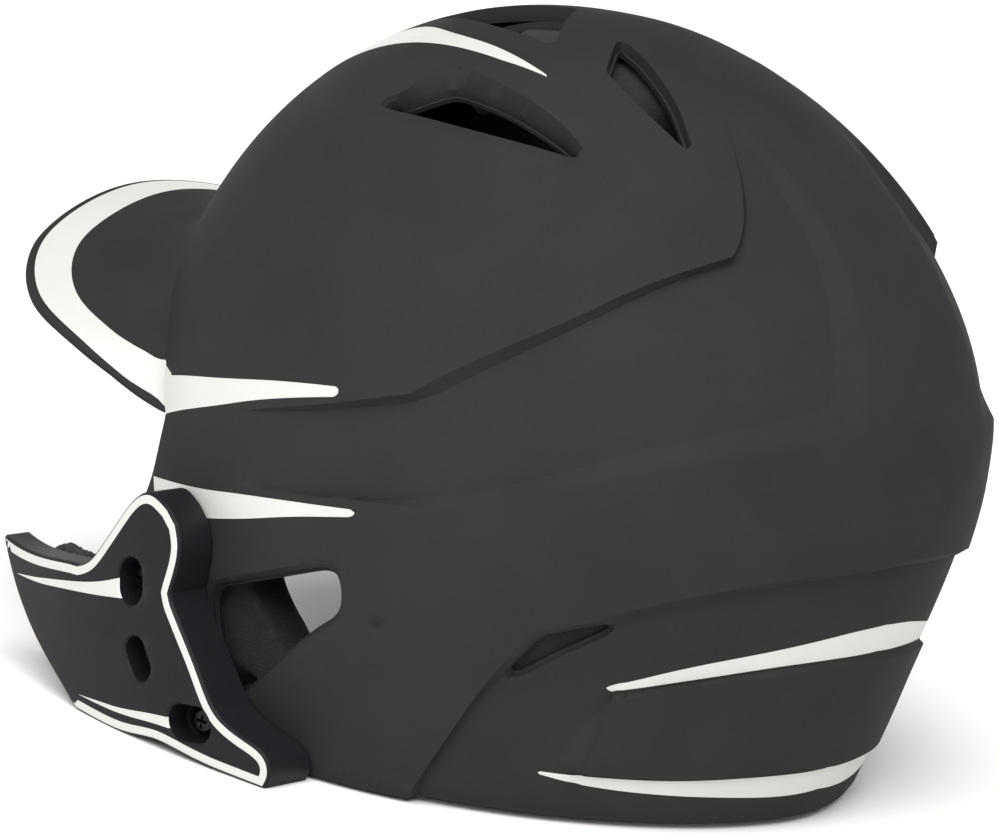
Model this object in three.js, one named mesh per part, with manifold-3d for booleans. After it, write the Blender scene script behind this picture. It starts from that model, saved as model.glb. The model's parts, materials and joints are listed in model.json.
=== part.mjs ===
import * as THREE from 'three';
import Module from 'manifold-3d';
import { mergeVertices } from 'three/addons/utils/BufferGeometryUtils.js';

const wasm = await Module();
wasm.setup();
const { Manifold, Mesh } = wasm;

// Batting helmet. Millimetres, +Z up. It faces -Y and the wearer's left is +X, where the jaw guard is.
// Built about the shell's plane of symmetry (x = 0), standing on its rim (z = 0).

// The dome: how far it reaches to the side, back and front, and at what height it is widest
const CROWN_Z = 197;
const SIDE = { reach: 106.5, waist: 58.5, power: 2, foot: 98, footPower: 2 };
const REAR = { reach: 117.5, waist: 102, power: 1.76, foot: 97, footPower: 1.7 };
const FRONT = { reach: 117.5, waist: 76, power: 2.22, foot: 112, footPower: 2 };
const ROUND_SECTION = 2.05;
const REAR_FOOT_SECTION = 1.8;

// Shell wall and the raised and sunk panels moulded in it
const WALL = 4.2;
const CHANNEL_DEPTH = 2.2;
const COLLAR_DEPTH = 2;
const PANEL_RISE = 1;
const CHANNEL = [
  [2, 100], [20, 106], [39, 122], [57, 136], [63, 141], [74, 149], [76, 153], [73, 160], [65, 169],
  [52, 180],
  [57, 178], [77, 164], [88, 153], [98, 138], [105, 119], [87, 110], [70, 100], [60, 94], [44, 87],
  [35, 83], [15, 76],
];
const COLLAR = [
  [32, -9], [32, 3], [43, 23], [51, 38], [57, 49], [61, 54], [74, 59], [83, 63], [100, 70], [110, 74],
  [125, 77], [125, -9],
];
const REAR_PANEL = [
  [64, 17.5], [76, 37.5], [98, 44], [103, 46.5], [110, 50], [125, 51], [125, 19.5], [100, 18.5],
];

// Openings in the shell, as side (y, z), front (x, z) or plan (x, y) outlines
const EAR_HOLE = [
  [-34, 36], [-32, 40], [-29, 42], [8, 57.6], [11, 58], [12.6, 56], [13.4, 48.5], [12, 45.5], [5, 40],
  [-16, 19], [-22, 14.5], [-26, 15],
];
const REAR_SLIT = [[55, 39.5], [57, 38.5], [66, 46], [76, 54], [77, 56], [69, 53], [62, 51]];
const FACE_SIDE = [
  [-66, 79], [-67, 70], [-68.5, 62], [-73, 54], [-76, 45], [-76, 36], [-72, 22], [-62, 9], [-48, 0],
  [-48, -9], [-240, -9], [-240, 79],
];
const FACE_ARCH = [
  [-120, 70], [-92, 77], [-84, 84], [-75, 95], [-58, 104.5], [-32, 112], [0, 114.5],
  [32, 112], [58, 104.5], [75, 95], [84, 84], [92, 77], [120, 70],
];
const SIDE_VENT = { outline: [[-29, 0], [34, 0], [16, 7.5], [-10, 8.5]], x: 60, z: 167.5, lean: 36 };
const MID_VENT = [[24, 18], [37, 25], [41.5, 56], [36, 46], [33, 35]];
const TOP_VENT = [[9, -50], [15, -51], [27, -22], [33, 2], [20, -5.5], [6, -12]];

// Brim: its outer edge and its root on the dome, from the centre line to the side
const BRIM_EDGE = [
  [0, -156, 121], [33, -151, 118], [64, -141, 109], [83, -123, 99], [88, -99, 90], [84, -73, 77.5],
];
const BRIM_ROOT = { firstAngle: -90, lastAngle: -38, firstZ: 120, lastZ: 84 };
const BRIM_THICKNESS = 3;
const BRIM_SWEEP = 5;

// Jaw guard: side outline (y, z), the curve of its face, its depth, and its fixings
const GUARD_FACE = { x: 118.5, bendFrom: -8, bend: 0.00245, crownZ: 35, crown: 3 };
const GUARD_OUTLINE = [
  [-115, 34], [-102, 34], [-87, 36], [-75, 39], [-69, 41], [-66, 43.5], [-60, 51], [-53.5, 61],
  [-50, 64], [-45.5, 65], [-41, 64],
  [-36.5, 61], [-33, 56.5], [-32, 52], [-32.8, 46], [-32.6, 41], [-30, 37], [-23, 30], [-16, 22],
  [-11, 15.5], [-5, 12.6],
  [2, 11], [6, 9], [7.5, 6], [7.3, 2], [5, 0], [-14, 0.6], [-33, 2], [-38, 1.6], [-48, 0], [-60, 0],
  [-65, 1],
  [-73, 3.5], [-84, 9], [-95, 16], [-105, 23], [-113, 30],
];
const GUARD_POCKET = [
  [-59, 42], [-53, 52], [-49, 58], [-44, 59], [-39, 54], [-38.5, 44], [-38.5, 38], [-27, 26], [-17, 14],
  [-10, 8], [-16, 6],
  [-40, 7.5], [-62, 6.5], [-70, 11], [-72, 30], [-68, 35],
];
const GUARD_DEPTH_FRONT = 9.5;
const GUARD_DEPTH_REAR = 19;
const GUARD_SKIN = 3.4;
const GUARD_GAP = 0.8;
const PIVOT = { y: -32, z: 44.5 };
const TILT = 4;
const UPPER_SCREW = { y: -48.4, z: 40.6, slotAngle: 102 };
const LOWER_SCREW = { y: -20.5, z: 10, slotAngle: 18 };
const SPARE_HOLE = { y: -43, z: 22, r: 5.4 };
const SLOT = { headR: 4.5, shankR: 2.7, seat: 8.2 };
const SLOT_TRAVEL = 5.6;
const BOSS_R = 8.5;
const SCREW = { headR: 4, headHeight: 2.6, shankR: 2.4, length: 21, driveR: 1.6, driveDepth: 1.4 };
const NUT = { flangeR: 7.5, flange: 1.4, barrelR: 3.2, holeR: 2.46, reach: 8.8 };

// Liner pads, each an outline in the side, front or plan view cut from the layer inside the shell
const PAD_GAP = 0.9;
const PAD_THICKNESS = 13;
const EAR_PAD_THICKNESS = 20;
const GUARD_PAD_THICKNESS = 9;
const SINGLE_PADS = [
  ['forehead_pad', 'front', [[-48, 122], [48, 122], [44, 150], [-44, 150]], -130, -10],
  ['front_crown_pad', 'plan', [[-28, -64], [28, -64], [34, -38], [-34, -38]], 130, 200],
  ['rear_crown_pad', 'plan', [[-32, 58], [32, 58], [26, 84], [-26, 84]], 120, 200],
  ['rear_pad', 'front', [[-42, 66], [42, 66], [36, 128], [-36, 128]], 10, 130],
  ['nape_pad', 'front', [[-40, 12], [40, 12], [42, 48], [30, 56], [-30, 56], [-42, 48]], 10, 130],
];
const PAIRED_PADS = [
  ['temple_pad', [[-76, 102], [-68, 94], [-52, 94], [-57, 124], [-72, 124]]],
  ['side_pad', [[-44, 90], [38, 92], [34, 126], [20, 146], [-38, 140], [-50, 126]]],
  ['rear_side_pad', [
    [44, 34], [58, 27], [73, 32], [78, 46], [79, 70], [84, 86], [84, 118], [62, 132], [47, 124], [44, 96],
  ]],
];
const CROWN_PAD = { y: 8, r: 40 };
const EAR_PAD = [
  [-40, 6], [2, 6], [26, 14], [34, 36], [32, 64], [14, 80], [-26, 80], [-52, 70], [-64, 46], [-60, 20],
];
const EAR_PAD_HOLE = [[-29, 50], [-5, 28], [8, 32], [19, 46], [20, 60], [13, 65], [-24, 55]];
const GUARD_PAD = [[-108, 33], [-99, 36.5], [-84, 38.5], [-80, 37.5], [-79, 17], [-91, 17.5], [-102, 25]];

const BLACK = 0x39393b;
const GUARD_BLACK = 0x2e2e33;
const FOAM = 0x1d1d1f;
const SCREW_BLACK = 0x141416;
const NUT_STEEL = 0x8a8a8c;

function paint(color, roughness, metalness) {
  return new THREE.MeshStandardMaterial({ color, roughness, metalness });
}

function toSolid(geometry) {
  const bare = geometry.clone();
  bare.deleteAttribute('normal');
  bare.deleteAttribute('uv');
  const merged = mergeVertices(bare, 1e-4);
  return new Manifold(new Mesh({
    numProp: 3,
    vertProperties: new Float32Array(merged.attributes.position.array),
    triVerts: new Uint32Array(merged.index.array),
  }));
}

function toGeometry(solid) {
  const cut = solid.getMesh();
  const geometry = new THREE.BufferGeometry();
  geometry.setAttribute('position', new THREE.BufferAttribute(cut.vertProperties, 3));
  geometry.setIndex(new THREE.BufferAttribute(cut.triVerts, 1));
  geometry.computeVertexNormals();
  return geometry;
}

function indexed(points, index) {
  const geometry = new THREE.BufferGeometry();
  geometry.setAttribute('position', new THREE.Float32BufferAttribute(points.flat(), 3));
  geometry.setIndex(index);
  return geometry;
}

function smooth(t) {
  const u = Math.min(1, Math.max(0, t));
  return u * u * (3 - 2 * u);
}

function lerp(a, b, t) {
  return a + (b - a) * t;
}

// How far the dome reaches at height z, drawn in by inset
function reach(profile, z, inset) {
  if (z < profile.waist) {
    const drop = (profile.waist - z) / profile.waist;
    return profile.reach - (profile.reach - profile.foot) * drop ** profile.footPower - inset;
  }
  const rise = Math.min(1, (z - profile.waist) / (CROWN_Z - inset - profile.waist));
  return (profile.reach - inset) * (1 - rise ** profile.power) ** (1 / profile.power);
}

// A point on the dome at an angle in degrees (0 is +X, 90 is the back)
function domePoint(angle, z, inset) {
  const c = Math.cos(angle * Math.PI / 180);
  const s = Math.sin(angle * Math.PI / 180);
  const a = reach(SIDE, z, inset);
  const b = reach(s > 0 ? REAR : FRONT, z, inset);
  const n = s > 0 ? lerp(REAR_FOOT_SECTION, ROUND_SECTION, smooth((z - 30) / 60)) : ROUND_SECTION;
  const r = ((Math.abs(c) / a) ** n + (Math.abs(s) / b) ** n) ** (-1 / n);
  return [r * c, r * s, z];
}

// The whole dome as a closed body, its inset constant or a function of the point
function domeGeometry(inset, segments, rows) {
  const insetAt = typeof inset === 'function' ? inset : () => inset;
  const bottom = -6;
  const points = [];
  for (let i = 0; i < rows; i += 1) {
    const rise = Math.sin((i / rows) * Math.PI / 2);
    for (let j = 0; j < segments; j += 1) {
      const angle = (j + 0.5) * 360 / segments;
      const depth = insetAt(domePoint(angle, lerp(bottom, CROWN_Z, rise), 0));
      points.push(domePoint(angle, lerp(bottom, CROWN_Z - depth, rise), depth));
    }
  }
  const low = points.length;
  points.push([0, 0, bottom], [0, 0, CROWN_Z - insetAt([0, 0, CROWN_Z])]);
  const last = low - segments;
  const index = [];
  for (let j = 0; j < segments; j += 1) {
    const k = (j + 1) % segments;
    for (let a = 0; a < last; a += segments) {
      const b = a + segments;
      index.push(a + j, a + k, b + k, a + j, b + k, b + j);
    }
    index.push(low, k, j, low + 1, last + j, last + k);
  }
  return indexed(points, index);
}

function dome(inset, segments = 44, rows = 13) {
  return toSolid(domeGeometry(inset, segments, rows));
}

// A closed slab between two sheets of points, each given over u and v from 0 to 1
function slab(columns, rows, upperAt, lowerAt) {
  const points = [];
  for (const at of [upperAt, lowerAt]) {
    for (let i = 0; i <= columns; i += 1) {
      for (let j = 0; j <= rows; j += 1) points.push(at(i / columns, j / rows));
    }
  }
  const width = rows + 1;
  const under = points.length / 2;
  const index = [];
  const quad = (a, b, c, d) => index.push(a, b, c, a, c, d);
  for (let i = 0; i < columns; i += 1) {
    for (let j = 0; j < rows; j += 1) {
      const a = i * width + j;
      const b = under + a;
      quad(a, a + width, a + width + 1, a + 1);
      quad(b, b + 1, b + width + 1, b + width);
    }
    const front = i * width;
    const back = front + rows;
    quad(front, under + front, under + front + width, front + width);
    quad(back, back + width, under + back + width, under + back);
  }
  for (let j = 0; j < rows; j += 1) {
    const end = columns * width + j;
    quad(j, j + 1, under + j + 1, under + j);
    quad(end, under + end, under + end + 1, end + 1);
  }
  return toSolid(indexed(points, index));
}

// A prism through the helmet: the side view's outline is (y, z), the front view's (x, z), the plan's (x, y)
function prismGeometry(view, outline, from, to) {
  const flip = view === 'front' ? -1 : 1;
  const shape = new THREE.Shape(outline.map(([u, v]) => new THREE.Vector2(flip * u, v)));
  const geometry = new THREE.ExtrudeGeometry(shape, { depth: to - from, bevelEnabled: false });
  geometry.translate(0, 0, from);
  if (view === 'side') geometry.rotateX(Math.PI / 2).rotateZ(Math.PI / 2);
  if (view === 'front') geometry.rotateX(Math.PI / 2).rotateZ(Math.PI);
  return geometry;
}

function prism(view, outline, from, to) {
  return toSolid(prismGeometry(view, outline, from, to));
}

// An outline with its corners cut back by r and rounded
function rounded(outline, r) {
  const shape = new THREE.Shape();
  outline.forEach((corner, i) => {
    const before = new THREE.Vector2(...outline.at(i - 1));
    const at = new THREE.Vector2(...corner);
    const after = new THREE.Vector2(...outline[(i + 1) % outline.length]);
    const start = at.clone().add(before.sub(at).setLength(r));
    const end = at.clone().add(after.sub(at).setLength(r));
    if (i === 0) shape.moveTo(start.x, start.y);
    else shape.lineTo(start.x, start.y);
    shape.quadraticCurveTo(at.x, at.y, end.x, end.y);
  });
  shape.closePath();
  return shape.getPoints(2).slice(0, -1).map((point) => [point.x, point.y]);
}

function rod(at, r, x0, x1, sides = 20) {
  const geometry = new THREE.CylinderGeometry(r, r, x1 - x0, sides);
  geometry.rotateZ(-Math.PI / 2);
  geometry.translate((x0 + x1) / 2, at.y, at.z);
  return toSolid(geometry);
}

// An obround hole along X, its long way turned in the side view
function slot(at, r, x0, x1) {
  const turn = at.slotAngle * Math.PI / 180;
  const outline = [];
  for (let i = 0; i < 20; i += 1) {
    const a = (i + 0.5) * Math.PI / 10;
    const u = Math.cos(a) * r + Math.sign(Math.cos(a)) * SLOT_TRAVEL / 2;
    const v = Math.sin(a) * r;
    const y = u * Math.cos(turn) - v * Math.sin(turn);
    const z = u * Math.sin(turn) + v * Math.cos(turn);
    outline.push([at.y + y, at.z + z]);
  }
  return prism('side', outline, x0, x1);
}

function mirrored(solid) {
  const geometry = toGeometry(solid);
  geometry.scale(-1, 1, 1);
  const order = geometry.index.array;
  for (let i = 0; i < order.length; i += 3) [order[i], order[i + 1]] = [order[i + 1], order[i]];
  return toSolid(geometry);
}

function bothSides(solid) {
  return solid.add(mirrored(solid));
}

function cutAll(solid, cutters) {
  return cutters.reduce((rest, cutter) => rest.subtract(cutter), solid);
}

function brimEdge(t) {
  const half = BRIM_EDGE.map((p) => new THREE.Vector3(...p));
  const other = half.slice(1).reverse().map((p) => new THREE.Vector3(-p.x, p.y, p.z));
  return new THREE.CatmullRomCurve3([...other, ...half]).getPoint((t + 1) / 2);
}

function brimRoot(t) {
  const side = Math.abs(t);
  const angle = lerp(BRIM_ROOT.firstAngle, BRIM_ROOT.lastAngle, side);
  const z = lerp(BRIM_ROOT.firstZ, BRIM_ROOT.lastZ, side ** 1.7);
  const [x, y] = domePoint(angle, z, WALL * 0.55);
  return new THREE.Vector3(t < 0 ? -x : x, y, z);
}

// The brim's upper face: it sweeps up into the dome at its root
function brimPoint(t, s) {
  const point = brimEdge(t).lerp(brimRoot(t), s);
  point.z += BRIM_SWEEP * s ** 4;
  return point;
}

function brimUnderPoint(t, s) {
  const step = 0.02;
  const across = brimPoint(Math.min(1, t + step), s).sub(brimPoint(Math.max(-1, t - step), s));
  const inward = brimPoint(t, Math.min(1, s + step)).sub(brimPoint(t, Math.max(0, s - step)));
  return brimPoint(t, s).add(inward.cross(across).setLength(BRIM_THICKNESS));
}

function brim() {
  const upper = (u, v) => brimPoint(2 * u - 1, v).toArray();
  const under = (u, v) => brimUnderPoint(2 * u - 1, v).toArray();
  return slab(26, 4, upper, under);
}

function sideVent() {
  const geometry = prismGeometry('side', rounded(SIDE_VENT.outline, 1.5), -16, 16);
  geometry.rotateY(-(90 - SIDE_VENT.lean) * Math.PI / 180);
  geometry.translate(SIDE_VENT.x, 0, SIDE_VENT.z);
  return bothSides(toSolid(geometry));
}

function sunkPanels() {
  const rearPanel = prism('side', REAR_PANEL, -130, 130).intersect(dome(COLLAR_DEPTH - PANEL_RISE));
  const channelFloor = dome((p) => lerp(-0.4, CHANNEL_DEPTH, smooth((p[1] - 4) / 50)));
  return [
    bothSides(prism('side', CHANNEL, 2, 130).subtract(channelFloor)),
    prism('side', COLLAR, -130, 130).subtract(dome(COLLAR_DEPTH)).subtract(rearPanel),
  ];
}

function outerShell() {
  const ground = prism('plan', [[-200, -200], [200, -200], [200, 200], [-200, 200]], -20, 0);
  const wall = cutAll(dome(0, 56, 18), [
    ...sunkPanels(),
    dome(WALL),
    ground,
    prism('side', FACE_SIDE, -130, 130),
    prism('front', FACE_ARCH, -240, -62),
  ]);
  return cutAll(wall.add(brim().subtract(dome(WALL))), [
    prism('side', rounded(EAR_HOLE, 0.8), -130, 130),
    prism('side', REAR_SLIT, -130, 130),
    bothSides(prism('plan', MID_VENT, 140, 230)),
    bothSides(prism('plan', TOP_VENT, 140, 230)),
    sideVent(),
    rod(UPPER_SCREW, NUT.barrelR + 0.3, 70, 130),
    rod(LOWER_SCREW, NUT.barrelR + 0.3, 70, 130),
  ]);
}

function faceX(y, z) {
  const bend = GUARD_FACE.bend * Math.min(0, y - GUARD_FACE.bendFrom) ** 2;
  return GUARD_FACE.x - bend - GUARD_FACE.crown * ((z - GUARD_FACE.crownZ) / 40) ** 2;
}

// A curved slab behind the guard's face, between two depths that may change along it
function faceSlab(outerDepth, innerDepthAt) {
  const at = (depthAt) => (u, v) => {
    const y = lerp(-122, 14, u);
    const z = lerp(-6, 70, v);
    return [faceX(y, z) - depthAt(y), y, z];
  };
  return slab(20, 4, at(() => outerDepth), at(innerDepthAt));
}

function guardDepth(y) {
  return lerp(GUARD_DEPTH_FRONT, GUARD_DEPTH_REAR, smooth((y + 74) / 10));
}

// The space the shell sweeps past the guard as the guard tilts through its range
function sweptShell() {
  const turns = [-TILT, -TILT / 2, 0, TILT / 2, TILT];
  return turns.map((turn) => {
    const geometry = domeGeometry(-GUARD_GAP, 48, 16);
    geometry.translate(0, -PIVOT.y, -PIVOT.z);
    geometry.rotateX(turn * Math.PI / 180);
    geometry.translate(0, PIVOT.y, PIVOT.z);
    return toSolid(geometry);
  });
}

function jawGuard() {
  const outline = prism('side', GUARD_OUTLINE, 60, 130);
  const body = cutAll(faceSlab(0, guardDepth).intersect(outline), sweptShell());
  const pocket = faceSlab(GUARD_SKIN, () => 40).intersect(prism('side', GUARD_POCKET, 60, 130));
  const bosses = [UPPER_SCREW, LOWER_SCREW, SPARE_HOLE].map((at) => rod(at, BOSS_R, 60, 130));
  const cuts = [cutAll(pocket, bosses)];
  for (const at of [UPPER_SCREW, LOWER_SCREW]) {
    cuts.push(slot(at, SLOT.headR, seatX(at), 130));
    cuts.push(slot(at, SLOT.shankR, 60, 130));
  }
  cuts.push(rod(SPARE_HOLE, SPARE_HOLE.r, seatX(SPARE_HOLE), 130));
  cuts.push(rod(SPARE_HOLE, SLOT.shankR, 60, 130));
  return cutAll(body, cuts);
}

function seatX(at) {
  return faceX(at.y, at.z) - SLOT.seat;
}

function guardPad() {
  const from = GUARD_DEPTH_FRONT + 0.5;
  return faceSlab(from, () => from + GUARD_PAD_THICKNESS).intersect(prism('side', GUARD_PAD, 60, 130));
}

function screw(at) {
  const under = seatX(at) + 0.3;
  const profile = [
    [0, -SCREW.length], [SCREW.shankR - 0.5, -SCREW.length],
    [SCREW.shankR, -SCREW.length + 0.8], [SCREW.shankR, 0],
    [SCREW.headR, 0], [SCREW.headR, SCREW.headHeight * 0.45], [SCREW.headR * 0.75, SCREW.headHeight * 0.88],
    [SCREW.headR * 0.4, SCREW.headHeight], [0, SCREW.headHeight],
  ];
  const geometry = new THREE.LatheGeometry(profile.map(([r, h]) => new THREE.Vector2(r, h)), 20);
  geometry.rotateZ(-Math.PI / 2);
  geometry.translate(under, at.y, at.z);
  const top = under + SCREW.headHeight;
  return toSolid(geometry).subtract(rod(at, SCREW.driveR, top - SCREW.driveDepth, top + 1, 6));
}

// A flanged nut pressed into the shell from inside
function flangedNut(at) {
  const outside = nutFaceX(at);
  const flange = rod(at, NUT.flangeR, outside - NUT.reach - NUT.flange, outside - NUT.reach);
  const barrel = rod(at, NUT.barrelR, outside - NUT.reach - 0.1, outside - 1.2);
  return flange.add(barrel).subtract(rod(at, NUT.holeR, 60, 130));
}

// Where the dome's outside lies over a fixing
function nutFaceX(at) {
  const y = Math.abs(at.y) / reach(FRONT, at.z, 0);
  return reach(SIDE, at.z, 0) * (1 - y ** ROUND_SECTION) ** (1 / ROUND_SECTION);
}

function padLayer(thickness) {
  const start = WALL + PAD_GAP;
  return dome(start, 36, 11).subtract(dome(start + thickness, 36, 11));
}

function earPad(layer) {
  const hole = prism('side', rounded(EAR_PAD_HOLE, 2), 40, 130);
  const nuts = [UPPER_SCREW, LOWER_SCREW].map((at) => rod(at, NUT.flangeR + 1, 84, 130));
  return cutAll(layer.intersect(prism('side', rounded(EAR_PAD, 6), 30, 130)), [hole, ...nuts]);
}

const helmet = new THREE.Group();

function place(name, solid, material) {
  const mesh = new THREE.Mesh(toGeometry(solid), material);
  mesh.name = name;
  helmet.add(mesh);
}

function addPads() {
  const foam = paint(FOAM, 0.95, 0);
  const layer = padLayer(PAD_THICKNESS);
  for (const [name, view, outline, from, to] of SINGLE_PADS) {
    place(name, layer.intersect(prism(view, rounded(outline, 4), from, to)), foam);
  }
  for (const [name, outline] of PAIRED_PADS) {
    const left = layer.intersect(prism('side', rounded(outline, 5), 20, 130));
    place(`${name}_left`, left, foam);
    place(`${name}_right`, mirrored(left), foam);
  }
  const disc = new THREE.CylinderGeometry(CROWN_PAD.r, CROWN_PAD.r, 80, 20);
  disc.rotateX(Math.PI / 2);
  disc.translate(0, CROWN_PAD.y, 180);
  place('crown_pad', layer.intersect(toSolid(disc)), foam);
  const ear = earPad(padLayer(EAR_PAD_THICKNESS));
  place('ear_pad_left', ear, foam);
  place('ear_pad_right', mirrored(ear), foam);
}

function addGuard() {
  place('jaw_guard', jawGuard(), paint(GUARD_BLACK, 0.55, 0));
  place('jaw_guard_pad', guardPad(), paint(FOAM, 0.95, 0));
  const steel = paint(SCREW_BLACK, 0.25, 0.8);
  for (const [end, at] of [['upper', UPPER_SCREW], ['lower', LOWER_SCREW]]) {
    place(`${end}_guard_screw`, screw(at), steel);
    place(`${end}_guard_nut`, flangedNut(at), paint(NUT_STEEL, 0.4, 0.9));
  }
}

place('outer_shell', outerShell(), paint(BLACK, 0.6, 0));
addPads();
addGuard();

// The origin is the middle of the bounding box's floor
const box = new THREE.Box3().setFromObject(helmet);
helmet.position.set(-(box.min.x + box.max.x) / 2, -(box.min.y + box.max.y) / 2, -box.min.z);

const part = new THREE.Group();
part.add(helmet);
export default part;
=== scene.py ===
import json
import math

import bpy
import numpy as np
from mathutils import Matrix, Vector, geometry, kdtree
from mathutils import noise as rough_noise
from mathutils.bvhtree import BVHTree

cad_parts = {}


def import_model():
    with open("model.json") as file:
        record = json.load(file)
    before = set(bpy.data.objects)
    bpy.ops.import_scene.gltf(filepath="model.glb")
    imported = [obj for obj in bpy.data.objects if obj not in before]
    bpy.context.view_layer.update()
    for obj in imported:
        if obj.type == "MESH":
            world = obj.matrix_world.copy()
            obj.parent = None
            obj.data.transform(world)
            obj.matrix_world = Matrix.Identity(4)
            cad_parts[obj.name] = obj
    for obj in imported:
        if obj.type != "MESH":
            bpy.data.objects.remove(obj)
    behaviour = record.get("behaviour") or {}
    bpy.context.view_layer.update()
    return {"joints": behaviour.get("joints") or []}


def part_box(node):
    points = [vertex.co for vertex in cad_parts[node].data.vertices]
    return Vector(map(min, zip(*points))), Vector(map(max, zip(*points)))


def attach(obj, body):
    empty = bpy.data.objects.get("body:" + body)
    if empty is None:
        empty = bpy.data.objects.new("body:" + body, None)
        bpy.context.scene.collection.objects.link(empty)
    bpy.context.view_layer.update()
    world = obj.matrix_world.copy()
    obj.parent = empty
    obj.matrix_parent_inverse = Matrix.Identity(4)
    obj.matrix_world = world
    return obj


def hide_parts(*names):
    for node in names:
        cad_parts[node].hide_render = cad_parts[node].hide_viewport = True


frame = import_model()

# A batting helmet. Shapes are worked out in millimetres about the shell's plane of symmetry (x = 0), standing
# on its rim (z = 0), facing -Y, and put into the frame's metres by to_frame. Lines are the left side's.
PIVOT = np.array([110, -32, 44.5])  # where the guard tilts on the shell
JOINTS = {joint["name"]: np.array(joint["pos_m"]) * 1000 for joint in frame["joints"]}
OFFSET = JOINTS["guard_tilt"] - PIVOT

# The dome's profiles: widest reach, height there, power of the curve above, reach at the rim, power below
CROWN_Z = 197
SIDE = (106.5, 58.5, 2, 98, 2)
REAR = (117.5, 102, 1.76, 97, 1.7)
FRONT = (117.5, 76, 2.22, 112, 2)
ROUND_SECTION = 2.05  # the power of its level sections
REAR_FOOT_SECTION = 1.8  # and low down at the rear
MIDDLE = np.array([0, 0, 60])  # the point that the dome's directions are taken from

WALL = 4.2  # thickness of the shell
INNER_LEAST = 2.4  # thickness that is left under the deepest moulding
LIP = 1.1  # radius of the shell's cut edges
GRID = 2.4  # spacing of the shell's mesh where nothing is moulded in it
GRID_REACH = 133  # degrees from the crown that the mesh covers
GRID_R = 108  # the dome's radius that the mesh's spacing is worked out for
GRID_CLEAR = 0.9  # how near a mesh point may come to a line
EASE = 8  # most rounds of smoothing a measured line gets
LINE_STEP = 1.6  # spacing along moulded and painted lines
HALVINGS = 34  # steps in the search for the dome's surface

# Moulded steps, each as an outer line where the surface starts to fall and an inner line where it has fallen.
# Every line is a list of runs: smooth within a run, with a corner between one run and the next.
CHANNEL_DEPTH = 2.9
CHANNEL_FRONT = (-40, 18)  # the channel deepens between these y
CHANNEL_TOP = (181, 160)  # and comes to nothing between these z
DOME_EDGE = [
    [(101, -27, 91), (102, -10, 96), (101.5, 3, 100), (98.5, 21, 106)],
    [(96, 27, 111), (81, 52, 130), (67, 64.5, 141), (55, 73, 147.5)],
    [(48, 77, 150.5), (44, 76, 154.5), (36, 68.5, 165.5), (25, 52.5, 179)],
]
DOME_FOOT = [
    [(101, -29, 88.5), (102.5, -11, 93), (102, 2, 96.5), (99, 22, 103)],
    [(97, 29, 107), (82, 53, 126.5), (68, 66, 138.5), (55.5, 74, 146)],
    [(45.5, 78.5, 151), (40.5, 77, 156), (33.5, 71, 164.5), (24.5, 54, 179)],
]
RIDGE_FOOT = [
    [(23.5, 56, 178.5), (24.5, 75.5, 165), (25.5, 88, 153), (29, 97.5, 140.5), (36, 106.5, 118.5)],
    [(38.5, 106, 117), (56, 96.5, 112), (76, 79, 103), (98.5, 40, 84.5), (105, 13.5, 77.5), (104, -24, 72.5)],
]
RIDGE_EDGE = [
    [(21.5, 56.5, 178.5), (18.5, 74.5, 167.5), (19.5, 90, 153.5), (21.5, 101.5, 138.5), (26.5, 111.5, 114)],
    [(28.5, 112.5, 110), (50, 102.5, 106), (71.5, 85, 99), (98.5, 42, 80)],
    [(99.5, 38.5, 78.5), (105, 15.5, 76), (106, -3, 73), (104.5, -20, 71)],
]
COLLAR_DEPTH = 2.8
COLLAR_EDGE = [
    [(91, 30, -8), (91, 32, 2), (91, 43, 23), (90, 51, 38), (87, 61, 53)],
    [(78, 74, 58.5), (70, 83, 64), (51, 100, 71.5), (28, 111, 75.5), (0, 116.5, 77.5)],
]
COLLAR_FOOT = [
    [(90, 34, -8), (90, 36, 4), (90, 45, 23), (87, 54, 37), (81, 69, 51)],
    [(74, 77, 55), (69, 84, 59.5), (50, 100, 67), (27, 110, 71), (0, 115, 73)],
]
PANEL_RISE = 1.5
PANEL_EDGE = [
    [(69.5, 69, 16), (69.5, 74, 30), (68.5, 76, 35.5)],
    [(66, 79, 37), (54.5, 89.5, 40.5), (37, 100.5, 44), (18, 107, 46), (0, 109.5, 46.5)],
]
PANEL_FOOT = [
    [(74, 64, 14.5), (73, 68.5, 24.5), (70, 75.5, 36.5)],
    [(68.5, 77, 38), (54.5, 90, 42.5), (37, 101.5, 46.5), (20, 108, 48.5), (0, 111, 49.5)],
]
PANEL_LOW_EDGE = [
    [(0, 103, 17.5), (17, 100.5, 17.5), (32, 95.5, 16.5), (60.5, 77.5, 15.5), (67.5, 71, 15.5)],
]

# Painted stripes on the left, mirrored on the right
TEMPLE_STRIPE = [
    [(88, -65, 79), (83, -71, 83), (80, -75, 88)],
    [(82, -73, 90.5), (86, -67, 89.5)],
    [(86, -67, 89), (94, -40, 94), (99, -15, 99.5), (101, 0, 102.5)],
    [(101, 1, 102), (101.5, 1.5, 101), (102, 0, 100)],
    [(102, 0, 100), (101, -26, 93), (98, -40, 88), (89, -65, 79.5)],
]
EAR_STRIPE = [
    [(88, -66, 62), (92, -60, 63), (100, -40, 66), (104, -23, 69), (105, 13, 74)],
    [(105, 14.5, 73.5), (105, 14.5, 72.5), (105, 13, 72)],
    [(105, 13, 72), (106, -4, 68), (104, -25, 62), (92, -62, 53)],
]
CROWN_STRIPE = [
    [(9, -104, 148), (16, -80, 171), (24, -49, 185), (34, -29, 187), (40, -9, 187), (45, 10.5, 183.5)],
    [(45.5, 11, 183), (45, 10, 182)],
    [(44, -5, 184), (35, -46, 180), (27, -78, 167), (14, -106, 144)],
]
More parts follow.
